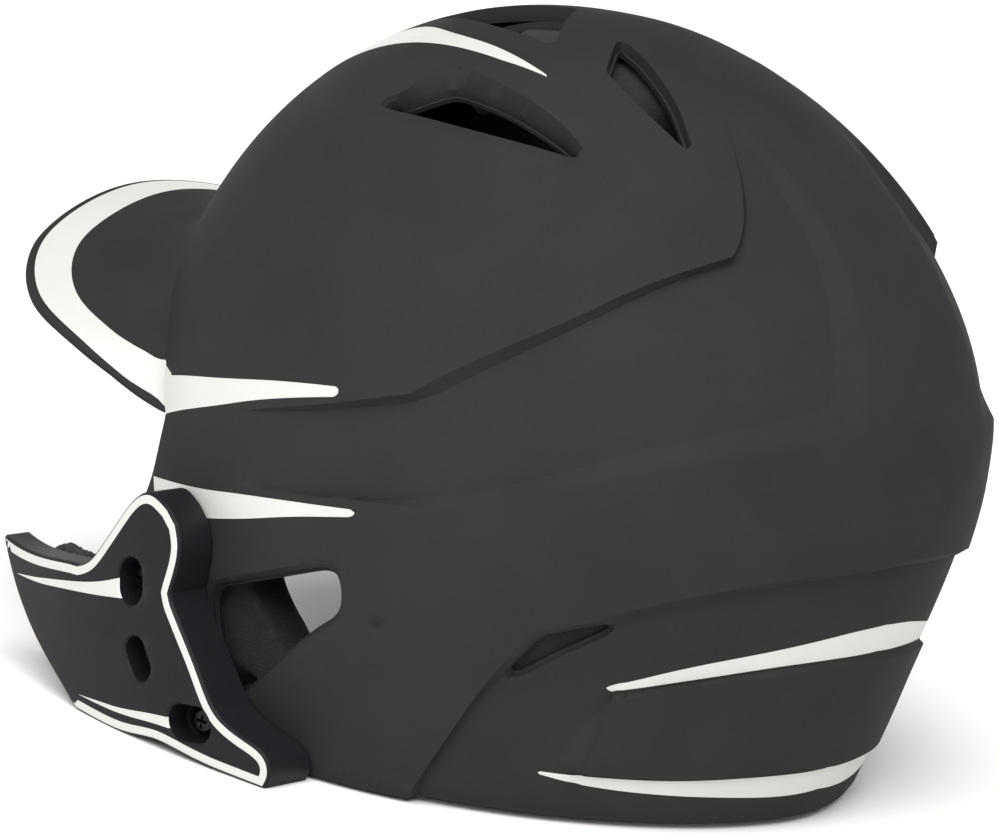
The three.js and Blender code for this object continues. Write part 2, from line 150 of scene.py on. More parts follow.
NAPE_STRIPE = [
    [(0, 113, 57), (14, 111, 56), (39, 101.5, 51), (56, 90, 46), (70.5, 76, 39)],
    [(71, 75.5, 38.5), (70.5, 75.5, 38), (69.5, 76.5, 37.5)],
    PANEL_FOOT[1],
]
RIM_STRIPE = [
    [(0, 102, 15.5), (17, 99.5, 15), (32, 94.5, 14.5), (60.5, 76.5, 13.5), (75.5, 62, 13.5)],
    [(76, 61.5, 13), (75.5, 62, 12.5)],
    [(68, 69, 11), (59.5, 76.5, 10), (48.5, 84, 9.5), (32, 92.5, 9), (0, 100, 9)],
]

# Openings: the edge of each cut, and for some the line round it where the surface starts to fall towards it
EAR_HOLE = [
    [(102, -33, 37), (102, -31, 41), (102, -28, 43)], [(103, -20, 46), (106, 7, 56.5)],
    [(106, 10, 57), (106, 12, 55.5)], [(105, 13, 48), (105, 12, 45.5)],
    [(105, 5, 40), (104, -5, 30), (102, -17, 18)], [(102, -22, 14.5), (102, -27, 15)],
]
EAR_HOLE_EDGE = [
    [(102, -36, 39), (102, -33, 44)], [(103, -22, 48.5), (106, 9, 61)],
    [(106, 13.5, 59), (106, 15.5, 50)], [(105, 14, 43.5), (105, 7, 37), (104, -3, 27), (102, -13, 16)],
    [(102, -20, 11.5), (102, -28, 12)],
]
REAR_SLIT = [[(88, 56, 39.5), (86.5, 58, 39)], [(82, 66, 46), (75, 77, 54.5)], [(75, 77, 56), (81, 70, 53.5)],
             [(85, 63, 51)]]
SIDE_VENT = [
    [(60, -30, 169), (63, -9, 170), (63, 11, 169.5), (59, 33.5, 168)],
    [(58, 28, 170.5), (55.5, 3.5, 176.5), (53.5, -12, 178)],
    [(53.5, -15.5, 177.5), (58.5, -25, 172)],
]
SIDE_VENT_EDGE = [
    [(62, -39, 164), (60.5, -30, 168.5), (52.5, -22.5, 177), (48, -16.5, 181.5)],
    [(47.5, -14.5, 181.5), (51, 0.5, 180.5), (54.5, 25, 174), (59.5, 47.5, 162)],
    [(63, 32, 164), (66, 12, 165.5), (67, -4, 165.5), (65.5, -20, 165)],
]
SIDE_VENT_MITRE = [[(47.5, -15.5, 181.5), (53.5, -14, 178)], [(59, 33, 168), (59.5, 46, 162.5)]]
MID_VENT = [
    [(21.5, 15.5, 193), (35, 23, 186.5)], [(36.5, 28, 184.5), (39, 39, 180), (39.5, 54, 172.5)],
    [(36.5, 49, 176), (32.5, 42.5, 181.5), (24.5, 24.5, 190)],
]
TOP_VENT = [
    [(9, -50, 190), (15.5, -51, 189)], [(28, -20, 191), (33, 2, 190)], [(20, -5.5, 194), (6, -12, 196)],
]
SIDE_VENT_LEDGE = [(-39, 164), (-30, 169), (-9, 169.9), (11, 169.5), (33, 167.9), (47, 161.8)]  # (y, z)
VENT_BEVEL = 1.8
FALL = {"ear_hole": 1.7, "side_vent": 1.8, "mid_vent": 1.6, "top_vent": 1.6}  # how far the surface falls
SIDE_VENT_HOOD = 3  # how much further it falls above the side vent's ledge

# The face opening's edge, as (x, z) in front and (y, z) at the side
FACE_FRONT = [(0, 114.5), (32, 112), (58, 104.5), (75, 95), (84, 84), (88, 79)]
FACE_SIDE = [
    (-66, 79), (-67, 70), (-68.5, 62), (-73, 54), (-76, 45), (-76, 36), (-72, 22), (-62, 9), (-48, 0),
]

# The brim: outer edge from the centre line to the side, its thickness, and the paint on it
BRIM_EDGE = [(0, -156, 121), (33, -151, 118), (64, -141, 109), (83, -123, 99), (88, -99, 90), (84, -73, 77.5)]
BRIM_END = (88, -66, 79.3)
BRIM_ROOT = {"first": -90, "last": -38, "z": 120, "last_z": 84}
BRIM_THICKNESS = 3
BRIM_SWEEP = 5  # how much the upper face sweeps up to its root
BRIM_FILLET = (8, 13)  # at the centre line and at the side
BRIM_LIP = (1.4, 0.6, 0.15)  # where the rounded edge leaves the upper face, and two stops on the way round
BRIM_LIP_DROP = (0.92, 0.75, 0.5, 0.25, 0.08)  # how far down the thickness each stop of the lip is
BRIM_COLUMNS = 14  # in each run of its edge
BRIM_FINE = 121  # points along a column while it is worked out, and for its path and its fillet
BRIM_PATH = 60
BRIM_BEND = 24
BRIM_UNDER = 7  # points along its underside
BRIM_TOP = (3, 9, 15)  # and along the top: edge to band, across the band, and band to root
BAND = (2.5, 12.5)  # the painted band's edges, from the brim's edge


def smooth(t):
    """Eases from 0 to 1 as t goes from 0 to 1."""
    u = np.clip(t, 0, 1)
    return u * u * (3 - 2 * u)


def unit(v):
    return v / np.maximum(np.linalg.norm(v, axis=-1, keepdims=True), 1e-12)


def joint_place(name):
    """A joint's place in helmet millimetres."""
    return JOINTS[name] - OFFSET


def to_frame(points):
    """Helmet millimetres to the frame's metres."""
    return (np.asarray(points, float) + OFFSET) / 1000


def reach(profile, z):
    """How far the dome reaches at height z, by one of its profiles."""
    widest, waist, power, foot, foot_power = profile
    drop = np.clip((waist - z) / waist, 0, None)
    rise = np.clip((z - waist) / (CROWN_Z - waist), 0, 1)
    low = widest - (widest - foot) * drop**foot_power
    return np.where(z < waist, low, widest * (1 - rise**power) ** (1 / power))


def level(p):
    """Below 0 inside the dome, above 0 outside."""
    x, y, z = p[..., 0], p[..., 1], p[..., 2]
    a = np.maximum(reach(SIDE, z), 1e-3)
    b = np.maximum(np.where(y > 0, reach(REAR, z), reach(FRONT, z)), 1e-3)
    rear = REAR_FOOT_SECTION + (ROUND_SECTION - REAR_FOOT_SECTION) * smooth((z - 30) / 60)
    n = np.where(y > 0, rear, ROUND_SECTION)
    return np.where(z > CROWN_Z, 1.0, (np.abs(x) / a) ** n + (np.abs(y) / b) ** n - 1)


def outward(start, ways, nearest, farthest):
    """The dome's points in the given directions from start, by halving the span that they lie in."""
    low = np.full(len(ways), float(nearest))
    high = np.full(len(ways), float(farthest))
    for _ in range(HALVINGS):
        t = (low + high) / 2
        outside = level(ways * t[:, None] + start) > 0
        high = np.where(outside, t, high)
        low = np.where(outside, low, t)
    return ways * low[:, None] + start


def project(p):
    """The points of the dome in the directions of p from its middle."""
    return outward(MIDDLE, unit(np.atleast_2d(np.asarray(p, float)) - MIDDLE), 40, 220)


FLAT_SCALE = 110  # millimetres on the plane for each radian from the crown


def section(share):
    """The share of its reach that a level section of the dome still has at a share of the way along it."""
    return (1 - np.abs(share) ** ROUND_SECTION) ** (1 / ROUND_SECTION)


def from_side(outline):
    """Points of the dome's left from their (y, z)."""
    y, z = np.array(outline, float).T
    along = np.where(y > 0, reach(REAR, z), reach(FRONT, z))
    return np.column_stack([reach(SIDE, z) * section(y / along), y, z])


def from_front(outline):
    """Points of the dome's front from their (x, z)."""
    x, z = np.array(outline, float).T
    return np.column_stack([x, -reach(FRONT, z) * section(x / reach(SIDE, z)), z])


def around_dome(z, start, end):
    """Points of the dome at height z, between two angles in degrees from +X."""
    a = np.radians(np.arange(start, end + 0.1, 0.8))
    return outward((0, 0, z), np.column_stack([np.cos(a), np.sin(a), np.zeros(len(a))]), 20, 200)


def flatten(p):
    """A point's direction from the middle as a place on a plane, with the crown at (0, 0)."""
    d = unit(np.asarray(p, float) - MIDDLE)
    polar = np.arccos(np.clip(d[:, 2], -1, 1))
    around = np.arctan2(d[:, 1], d[:, 0])
    return FLAT_SCALE * polar[:, None] * np.column_stack([np.cos(around), np.sin(around)])


def unflatten(uv):
    """The dome's points at places on that plane."""
    polar = np.linalg.norm(uv, axis=1) / FLAT_SCALE
    around = np.arctan2(uv[:, 1], uv[:, 0])
    d = np.column_stack([np.sin(polar) * np.cos(around), np.sin(polar) * np.sin(around), np.cos(polar)])
    return project(MIDDLE + d)


def normals(uv):
    """The dome's outward normals at places on the plane."""
    e = 0.3
    across = unflatten(uv + (e, 0)) - unflatten(uv - (e, 0))
    along = unflatten(uv + (0, e)) - unflatten(uv - (0, e))
    return unit(np.cross(across, along))


def run(points, step=LINE_STEP):
    """A smooth line through the points, about step apart (centripetal Catmull-Rom)."""
    p = np.array(points, float)
    p = np.vstack([2 * p[0] - p[1], p, 2 * p[-1] - p[-2]])
    out = []
    for a, b, c, d in zip(p, p[1:], p[2:], p[3:]):
        k = np.cumsum([0] + [max(np.linalg.norm(s - r), 1e-6) ** 0.5 for r, s in ((a, b), (b, c), (c, d))])
        count = max(1, math.ceil(np.linalg.norm(c - b) / step))
        t = np.linspace(k[1], k[2], count, endpoint=False)[:, None]
        mix = lambda u, v, i, j: ((k[j] - t) * u + (t - k[i]) * v) / (k[j] - k[i])
        ab, bc, cd = mix(a, b, 0, 1), mix(b, c, 1, 2), mix(c, d, 2, 3)
        out.append(mix(mix(ab, bc, 0, 2), mix(bc, cd, 1, 3), 1, 2))
    return eased(np.vstack(out + [p[-2]]))


def eased(p):
    """A line with the small unevenness of its points taken out, its ends kept."""
    for _ in range(min(EASE, len(p) // 3)):
        p = np.vstack([p[:1], (p[:-2] + 2 * p[1:-1] + p[2:]) / 4, p[-1:]])
    return p


def line(runs):
    """Runs end to end, as an open line."""
    parts = []
    for i, points in enumerate(runs):
        parts.append(run(points) if len(points) > 1 else np.array(points, float))
        if i + 1 < len(runs):
            gap = np.array([points[-1], runs[i + 1][0]], float)
            if np.linalg.norm(gap[1] - gap[0]) > 0.01:
                parts.append(run(gap)[1:-1])
    joined = np.vstack([p for p in parts if len(p)])
    keep = np.ones(len(joined), bool)
    keep[1:] = np.linalg.norm(np.diff(joined, axis=0), axis=1) > 0.05
    return joined[keep]


def closed(runs):
    """Runs end to end, as a closed loop."""
    return line([*runs, [runs[0][0]]])[:-1]


def mirrored(points):
    """A line on the other side, run the other way."""
    return points[::-1] * (-1, 1, 1)


def whole(half):
    """A line that starts on the centre line, with its mirror image before it."""
    return np.vstack([mirrored(half)[:-1], half])


def softened(loop, reach_mm):
    """A closed loop with its corners rounded."""
    p = loop
    for _ in range(max(1, round((reach_mm / LINE_STEP) ** 2 * 6))):
        p = p * 0.5 + (np.roll(p, 1, axis=0) + np.roll(p, -1, axis=0)) * 0.25
    return p


def inside(loop, q):
    """Which of the plane points q lie in the closed loop."""
    result = np.zeros(len(q), bool)
    lo, hi = loop.min(axis=0), loop.max(axis=0)
    near = np.all((q >= lo) & (q <= hi), axis=1)
    x, y = q[near].T
    hit = np.zeros(near.sum(), bool)
    for (x0, y0), (x1, y1) in zip(loop, np.roll(loop, -1, axis=0)):
        if y0 != y1:
            hit ^= ((y0 > y) != (y1 > y)) & (x < (x1 - x0) * (y - y0) / (y1 - y0) + x0)
    result[near] = hit
    return result


def distance(points, lines, far=12.0):
    """How far each point is from the nearest of the lines, up to far."""
    best = np.full(len(points), far)
    for p in lines:
        a, b = p[:-1], p[1:]
        in_box = np.all((points > p.min(axis=0) - far) & (points < p.max(axis=0) + far), axis=1)
        near = np.flatnonzero(in_box)
        for chunk in np.array_split(near, max(1, len(near) // 3000)):
            q = points[chunk][:, None]
            ab = b - a
            t = np.clip(((q - a) * ab).sum(-1) / np.maximum((ab * ab).sum(-1), 1e-9), 0, 1)
            gap = np.linalg.norm(a + ab * t[..., None] - q, axis=-1).min(axis=1)
            best[chunk] = np.minimum(best[chunk], gap)
    return best


def rounding(edge, r):
    """How far a surface falls at these distances from an edge that is rounded to the radius."""
    return r - np.sqrt(np.clip(r**2 - np.clip(r - edge, 0, None) ** 2, 0, None))


def ring(loop):
    """A closed loop as a line that ends where it starts."""
    return np.vstack([loop, loop[:1]])


def moved_sideways(points, by, is_loop=True):
    """A line on the dome moved by a distance to its left, as seen from outside, along the surface."""
    ahead = np.roll(points, -1, axis=0) - np.roll(points, 1, axis=0)
    if not is_loop:
        ahead[0] = points[1] - points[0]
        ahead[-1] = points[-1] - points[-2]
    left = np.cross(normals(flatten(points)), unit(ahead))
    return project(points + left * by)


def turned_left(loop):
    """The loop, turned so that its inside is on its left from outside the dome."""
    u, v = flatten(loop).T
    area = (u * np.roll(v, -1) - v * np.roll(u, -1)).sum()
    return loop if area > 0 else loop[::-1]


def both(loops):
    """A list of the left side's lines, and their mirror images."""
    return [*loops, *(mirrored(p) for p in loops)]


# ---- materials ----

def material(name, base, roughness):
    """A Principled material with its node tree's usual parts."""
    made = bpy.data.materials.new(name)
    made.use_nodes = True
    shader = made.node_tree.nodes["Principled BSDF"]
    shader.inputs["Base Color"].default_value = (*base, 1)
    shader.inputs["Roughness"].default_value = roughness
    return made, made.node_tree, shader


def add_node(tree, kind, **inputs):
    node = tree.nodes.new(kind)
    for name, value in inputs.items():
        node.inputs[name.replace("_", " ")].default_value = value
    return node


def place(tree):
    return tree.nodes.new("ShaderNodeTexCoord").outputs["Object"]


def noise(tree, scale, detail=3.0, rough=0.55):
    node = add_node(tree, "ShaderNodeTexNoise", Scale=scale, Detail=detail, Roughness=rough)
    tree.links.new(place(tree), node.inputs["Vector"])
    return node.outputs["Fac"]


def ramp(tree, factor, low, high, start=0.3, end=0.7):
    node = tree.nodes.new("ShaderNodeValToRGB")
    node.color_ramp.elements[0].position = start
    node.color_ramp.elements[1].position = end
    node.color_ramp.elements[0].color = (*low, 1)
    node.color_ramp.elements[1].color = (*high, 1)
    tree.links.new(factor, node.inputs["Fac"])
    return node.outputs["Color"]


def spread(tree, factor, low, high):
    node = add_node(tree, "ShaderNodeMapRange", From_Min=0.3, From_Max=0.7, To_Min=low, To_Max=high)
    tree.links.new(factor, node.inputs["Value"])
    return node.outputs["Result"]


def bump(tree, shader, height, strength, depth_mm, before=None):
    node = add_node(tree, "ShaderNodeBump", Strength=strength, Distance=depth_mm / 1000)
    tree.links.new(height, node.inputs["Height"])
    if before:
        tree.links.new(before, node.inputs["Normal"])
    tree.links.new(node.outputs["Normal"], shader.inputs["Normal"])
    return node.outputs["Normal"]


def moulded(name, low, high, roughness, specular, grain=2600):
    """Soft-touch moulded plastic: fine even grain, with faint handling marks in its sheen."""
    made, tree, shader = material(name, high, 0.5)
    shader.inputs["Specular IOR Level"].default_value = specular
    tree.links.new(ramp(tree, noise(tree, 38, 4), low, high), shader.inputs["Base Color"])
    tree.links.new(spread(tree, noise(tree, 70, 5), *roughness), shader.inputs["Roughness"])
    wave = bump(tree, shader, noise(tree, 55, 2), 0.12, 0.25)
    bump(tree, shader, noise(tree, grain, 2), 0.22, 0.03, wave)
    return made


def knitted(name, low, high, scale=900):
    """Brushed knit over foam."""
    made, tree, shader = material(name, high, 0.95)
    cells = add_node(tree, "ShaderNodeTexVoronoi", Scale=scale, Randomness=0.25)
    tree.links.new(place(tree), cells.inputs["Vector"])
    tree.links.new(ramp(tree, noise(tree, 160, 4), low, high), shader.inputs["Base Color"])
    tree.links.new(spread(tree, noise(tree, 300, 3), 0.85, 0.98), shader.inputs["Roughness"])
    fuzz = bump(tree, shader, noise(tree, 1800, 3), 0.35, 0.12)
    bump(tree, shader, cells.outputs["Distance"], 0.7, 0.35, fuzz)
    shader.inputs["Sheen Weight"].default_value = 0.06
    shader.inputs["Sheen Roughness"].default_value = 0.5
    return made


def open_foam(name):
    """Open-cell foam: pits between torn cell walls."""
    made, tree, shader = material(name, (0.03, 0.03, 0.032), 0.95)
    cells = add_node(tree, "ShaderNodeTexVoronoi", Scale=1000, Randomness=1.0)
    tree.links.new(place(tree), cells.inputs["Vector"])
    tree.links.new(
        ramp(tree, cells.outputs["Distance"], (0.05, 0.05, 0.053), (0.012, 0.012, 0.013), 0.05, 0.6),
        shader.inputs["Base Color"],
    )
    tree.links.new(spread(tree, noise(tree, 700, 3), 0.85, 1.0), shader.inputs["Roughness"])
    bump(tree, shader, cells.outputs["Distance"], 1.0, 0.8)
    return made


def plated(name, low, high, roughness, metallic):
    made, tree, shader = material(name, high, 0.3)
    shader.inputs["Metallic"].default_value = metallic
    tree.links.new(ramp(tree, noise(tree, 400, 4), low, high), shader.inputs["Base Color"])
    tree.links.new(spread(tree, noise(tree, 900, 3), *roughness), shader.inputs["Roughness"])
    bump(tree, shader, noise(tree, 3000, 2), 0.15, 0.02)
    return made


SHELL = moulded("soft_touch_charcoal", (0.0238, 0.0233, 0.0239), (0.0272, 0.0264, 0.027), (0.66, 0.76), 0.04)
LINING = moulded("shell_inside", (0.008, 0.008, 0.0085), (0.011, 0.011, 0.0115), (0.6, 0.75), 0.3, 1400)
WHITE = moulded("white_paint", (0.53, 0.54, 0.525), (0.56, 0.57, 0.555), (0.42, 0.52), 0.3, 3400)
GUARD = moulded("guard_satin_black", (0.0095, 0.0095, 0.012), (0.0112, 0.0112, 0.014), (0.5, 0.58), 0.12)
KNIT = knitted("liner_knit", (0.004, 0.004, 0.0045), (0.0075, 0.0075, 0.0082))
FOAM = open_foam("guard_foam")
SCREW = plated("black_oxide", (0.008, 0.008, 0.009), (0.014, 0.014, 0.015), (0.16, 0.3), 0.7)
NUT = plated("zinc", (0.42, 0.42, 0.43), (0.55, 0.55, 0.56), (0.3, 0.45), 1.0)


# ---- building meshes ----

def smooth_shaded(mesh):
    mesh.polygons.foreach_set("use_smooth", np.ones(len(mesh.polygons), bool))


def piece(name, points, faces, materials, which=None, sharp=38):
    """A mesh object from helmet millimetres, smooth shaded but for edges sharper than that many degrees."""
    mesh = bpy.data.meshes.new(name)
    mesh.from_pydata(to_frame(points).tolist(), [], [list(map(int, f)) for f in faces])
    for m in materials:
        mesh.materials.append(m)
    if which is not None:
        mesh.polygons.foreach_set("material_index", np.asarray(which, np.int32))
    smooth_shaded(mesh)
    mesh.update()
    mesh.set_sharp_from_angle(angle=math.radians(sharp))
    made = bpy.data.objects.new(name, mesh)
    bpy.context.scene.collection.objects.link(made)
    return made


def triangulated(loose, lines, loops, clear):
    """Plane triangles through the loose points, with every line and closed loop kept as edges."""
    points = []
    edges = []
    for part, is_loop in [*((p, False) for p in lines), *((p, True) for p in loops)]:
        first = len(points)
        points.extend(part)
        edges.extend((first + i, first + i + 1) for i in range(len(part) - 1))
        if is_loop:
            edges.append((len(points) - 1, first))
    tree = kdtree.KDTree(len(points))
    for i, (u, v) in enumerate(points):
        tree.insert((u, v, 0), i)
    tree.balance()
    points.extend(p for p in loose if tree.find((p[0], p[1], 0))[2] > clear)
    flat = [Vector((float(u), float(v))) for u, v in points]
    made = geometry.delaunay_2d_cdt(flat, edges, [], 0, 1e-4, False)
    return np.array([tuple(p) for p in made[0]]), np.array(made[2])


def only_used(points, faces):
    """The points that the faces use, and the faces renumbered to match."""
    used = np.unique(faces)
    renumber = np.zeros(len(points), int)
    renumber[used] = np.arange(len(used))
    return points[used], renumber[faces]


def thickened(faces, count):
    """Faces for a sheet's copy, count points on, and for the walls that join the two round their edges."""
    edges = dict.fromkeys(edge for a, b, c in faces for edge in ((a, b), (b, c), (c, a)))
    rim = [(a, b) for a, b in edges if (b, a) not in edges]
    under = (faces + count)[:, ::-1]
    walls = [(b, a, a + count, b + count) for a, b in rim]
    return under, walls


def dome_grid():
    """Points about GRID apart all over the dome, in rings about the crown."""
    spacing = GRID / GRID_R * FLAT_SCALE
    rings = [np.zeros((1, 2))]
    for i in range(1, math.ceil(math.radians(GRID_REACH) * FLAT_SCALE / spacing)):
        r = i * spacing
        around = max(8, round(2 * math.pi * math.sin(min(r / FLAT_SCALE, 2.2)) * GRID_R / GRID))
        a = (np.arange(around) + 0.5 * (i % 2)) * 2 * math.pi / around
        rings.append(r * np.column_stack([np.cos(a), np.sin(a)]))
    return np.vstack(rings)


def between(p, uv, outer, inner, outer_lines, inner_lines):
    """0 outside the outer loop, 1 inside the inner one, and a straight slope from one line to the other."""
    in_outer = inside(outer, uv)
    in_inner = inside(inner, uv)
    share = np.where(in_inner, 1.0, 0.0)
    slope = in_outer & ~in_inner
    a = distance(p[slope], outer_lines, 40)
    b = distance(p[slope], inner_lines, 40)
    share[slope] = a / np.maximum(a + b, 1e-6)
    return share


# ---- the shell ----

UNDER_SHELL = [(-80, 30, -40), (-60, 80, -40), (0, 105, -40), (60, 80, -40), (80, 30, -40)]
RIM_LIP = 0.5  # how far the rim is drawn in
RIM_LIP_Z = (2.2, 3.2)  # between these heights
RIM_ENDS = (-28.28, 208.28)  # degrees from +X where the rim turns up into the face opening
DIMPLE = {"at": (102, 24, 46), "r": 1.5, "depth": 0.8}  # the small moulded dot behind the ear hole
DIMPLE_RINGS = (1.8, 1.0, 0.3)
PARTING = [(71, 80, 54), (69, 76, 30), (68, 65, 3)]  # the fine groove beside the rear panel
PARTING_HALF = 0.45
PARTING_DEPTH = 0.3
CREASE = 0.8  # half the width over which a moulded crease is rounded
LIP_RINGS = (0.3, 0.7, LIP)  # lines along a cut edge that round it
STEPS_ON_SIDE = ("dome_edge", "dome_foot", "ridge_edge", "ridge_foot")


def below(edge):
    """The closed loop round everything under a line that runs from side to side behind the shell."""
    return np.vstack([edge, project(run(UNDER_SHELL)[::-1])])


def shell_lines():
    """Every moulded, painted and cut line of the shell. Loops that lie on one side are the left one."""
    on = lambda runs: project(line(runs))
    loop = lambda runs: project(closed(runs))
    lines = {
        "dome_edge": on(DOME_EDGE), "dome_foot": on(DOME_FOOT),
        "ridge_edge": on(RIDGE_EDGE), "ridge_foot": on(RIDGE_FOOT),
        "collar_edge": project(whole(line(COLLAR_EDGE)[::-1])),
        "collar_foot": project(whole(line(COLLAR_FOOT)[::-1])),
        "parting": on([PARTING]),
    }
    panel_foot = line([RIM_STRIPE[0], *PANEL_FOOT])
    panel_edge = line([PANEL_LOW_EDGE[0], *PANEL_EDGE])
    loops = {
        "panel_foot": project(np.vstack([panel_foot[:-1], mirrored(panel_foot)[:-1]])),
        "panel_edge": project(np.vstack([panel_edge[:-1], mirrored(panel_edge)[:-1]])),
        "ear_hole_edge": loop(EAR_HOLE_EDGE), "side_vent_edge": loop(SIDE_VENT_EDGE),
    }
    holes = {
        name: turned_left(project(softened(closed(runs), r)))
        for name, runs, r in (
            ("ear_hole", EAR_HOLE, 1.4), ("rear_slit", REAR_SLIT, 1), ("side_vent", SIDE_VENT, 0.8),
            ("mid_vent", MID_VENT, 0.8), ("top_vent", TOP_VENT, 0.8),
        )
    }
    for name in ("mid_vent", "top_vent"):
        loops[name + "_edge"] = moved_sideways(holes[name], -VENT_BEVEL)
    stripes = {"temple": loop(TEMPLE_STRIPE), "ear": loop(EAR_STRIPE), "crown": loop(CROWN_STRIPE)}
    for name, runs in (("nape", NAPE_STRIPE), ("rim", RIM_STRIPE)):
        half = line(runs)
        stripes[name] = project(np.vstack([half[:-1], mirrored(half)[:-1]]))
    face = np.vstack([run(from_front(FACE_FRONT)), run(from_side(FACE_SIDE))[1:]])
    rim = around_dome(0, *RIM_ENDS)
    outline = turned_left(np.vstack([rim[1:-1], project(whole(face))]))
    return lines, loops, holes, stripes, outline


def relief(p, lines, loops, holes):
    """How far the surface is moulded in from the dome, at points of its left half."""
    uv = flatten(p)
    y, z = p[:, 1], p[:, 2]

    def step(outer, inner, outer_lines, inner_lines):
        return between(p, uv, flatten(outer), flatten(inner), outer_lines, inner_lines)

    edges = [lines["dome_edge"], lines["ridge_edge"]]
    feet = [lines["dome_foot"], lines["ridge_foot"]]
    channel = step(np.vstack(edges), np.vstack(feet), edges, feet)
    fade = smooth((y - CHANNEL_FRONT[0]) / (CHANNEL_FRONT[1] - CHANNEL_FRONT[0]))
    fade *= smooth((z - CHANNEL_TOP[0]) / (CHANNEL_TOP[1] - CHANNEL_TOP[0]))
    depth = CHANNEL_DEPTH * fade * channel
    edge, foot = lines["collar_edge"], lines["collar_foot"]
    depth += COLLAR_DEPTH * step(below(edge), below(foot), [edge], [foot])
    foot, edge = loops["panel_foot"], loops["panel_edge"]
    depth -= PANEL_RISE * step(foot, edge, [ring(foot)], [ring(edge)])
    above = z - np.interp(y, *np.transpose(SIDE_VENT_LEDGE))
    hood = {"side_vent": SIDE_VENT_HOOD * smooth((above + 0.5) / 3)}
    for name, fall in FALL.items():
        deep = fall + hood.get(name, 0)
        outer, inner = loops[name + "_edge"], holes[name]
        depth += deep * step(outer, inner, [ring(outer)], [ring(inner)])
    depth += RIM_LIP * smooth((RIM_LIP_Z[1] - z) / (RIM_LIP_Z[1] - RIM_LIP_Z[0]))
    depth += DIMPLE["depth"] * smooth(1.2 - np.linalg.norm(p - project(DIMPLE["at"]), axis=1) / DIMPLE["r"])
    seam = distance(p, [lines["parting"]], 2)
    depth += PARTING_DEPTH * np.clip(1 - seam / PARTING_HALF, 0, 1)
    return depth


def on_left(p):
    """The points, with those on the right mirrored to the left."""
    return np.column_stack([np.abs(p[:, 0]), p[:, 1:]])


def mesh_lines(lines, loops, holes, stripes, outline):
    """Every line that the shell's mesh has edges along: the open ones, and the closed ones.

    The moulded steps at the side, and the lines round the openings where the surface falls and where the cut is
    rounded, are here for the left only. On the right the mesh keeps its own grid there, and is less crisp.
    """
    open_lines = [lines[n] for n in (*STEPS_ON_SIDE, "parting")]
    open_lines += [lines["collar_edge"], lines["collar_foot"]]
    for by in (-PARTING_HALF, PARTING_HALF):
        open_lines += both([moved_sideways(lines["parting"], by, False)])
    for z in RIM_LIP_Z:
        open_lines.append(around_dome(z, RIM_ENDS[0] - 8, RIM_ENDS[1] + 8))
    open_lines += [project(run(ends)) for ends in SIDE_VENT_MITRE]
    for by in (-CREASE, CREASE):
        open_lines += [moved_sideways(lines[n], by, False) for n in STEPS_ON_SIDE]
        open_lines += [moved_sideways(lines[n], by, False) for n in ("collar_edge", "collar_foot")]
        open_lines += [ring(moved_sideways(loops[n], by)) for n in ("panel_foot", "panel_edge")]
        open_lines += [ring(moved_sideways(loops[n], by)) for n in ("ear_hole_edge", "side_vent_edge")]
    centre = np.array(DIMPLE["at"], float)
    turn = np.linspace(0, 2 * math.pi, 16, endpoint=False)
    for r in DIMPLE_RINGS:
        dimple = centre + np.column_stack([np.zeros(16), r * np.cos(turn), r * np.sin(turn)])
        open_lines += both([project(dimple)])
    closed_lines = [outline, loops["panel_foot"], loops["panel_edge"], stripes["nape"], stripes["rim"]]
    closed_lines += both([*holes.values(), stripes["temple"], stripes["ear"], stripes["crown"]])
    closed_lines += [loops[n + "_edge"] for n in FALL]
    for by in LIP_RINGS:
        open_lines.append(ring(moved_sideways(outline, by)))
        open_lines += [ring(moved_sideways(hole, -by)) for hole in holes.values()]
    return [flatten(p) for p in open_lines], [flatten(p) for p in closed_lines]


def shell_parts():
    """The shell's points, faces and materials, without the brim."""
    lines, loops, holes, stripes, outline = shell_lines()
    flat, faces = triangulated(dome_grid(), *mesh_lines(lines, loops, holes, stripes, outline), GRID_CLEAR)
    p = unflatten(flat)
    middle = flat[faces].mean(axis=1)
    left_flat = flatten(on_left(unflatten(middle)))
    keep = inside(flatten(outline), middle)
    for hole in holes.values():
        keep &= ~inside(flatten(hole), left_flat)
    white = np.zeros(len(faces), bool)
    for stripe in stripes.values():
        white |= inside(flatten(stripe), left_flat)
    white = white[keep]
    p, faces = only_used(p, faces[keep])

    out = normals(flatten(p))
    depth = relief(on_left(p), lines, loops, holes)
    # The openings on the right keep square edges, because only the left ones are measured from here
    edge = distance(p, [ring(outline), *(ring(hole) for hole in holes.values())], 3)
    outer = p - out * (depth + rounding(edge, LIP))[:, None]
    inner = p - out * np.maximum(WALL, depth + INNER_LEAST)[:, None]
    corner = np.cross(outer[faces[:, 1]] - outer[faces[:, 0]], outer[faces[:, 2]] - outer[faces[:, 0]])
    if (corner * out[faces[:, 0]]).sum() < 0:
        faces = faces[:, ::-1]
    under, walls = thickened(faces, len(p))
    all_faces = [*faces.tolist(), *under.tolist(), *walls]
    which = [*np.where(white, 1, 0), *([2] * len(under)), *([0] * len(walls))]
    return np.vstack([outer, inner]), all_faces, which


# ---- the brim ----

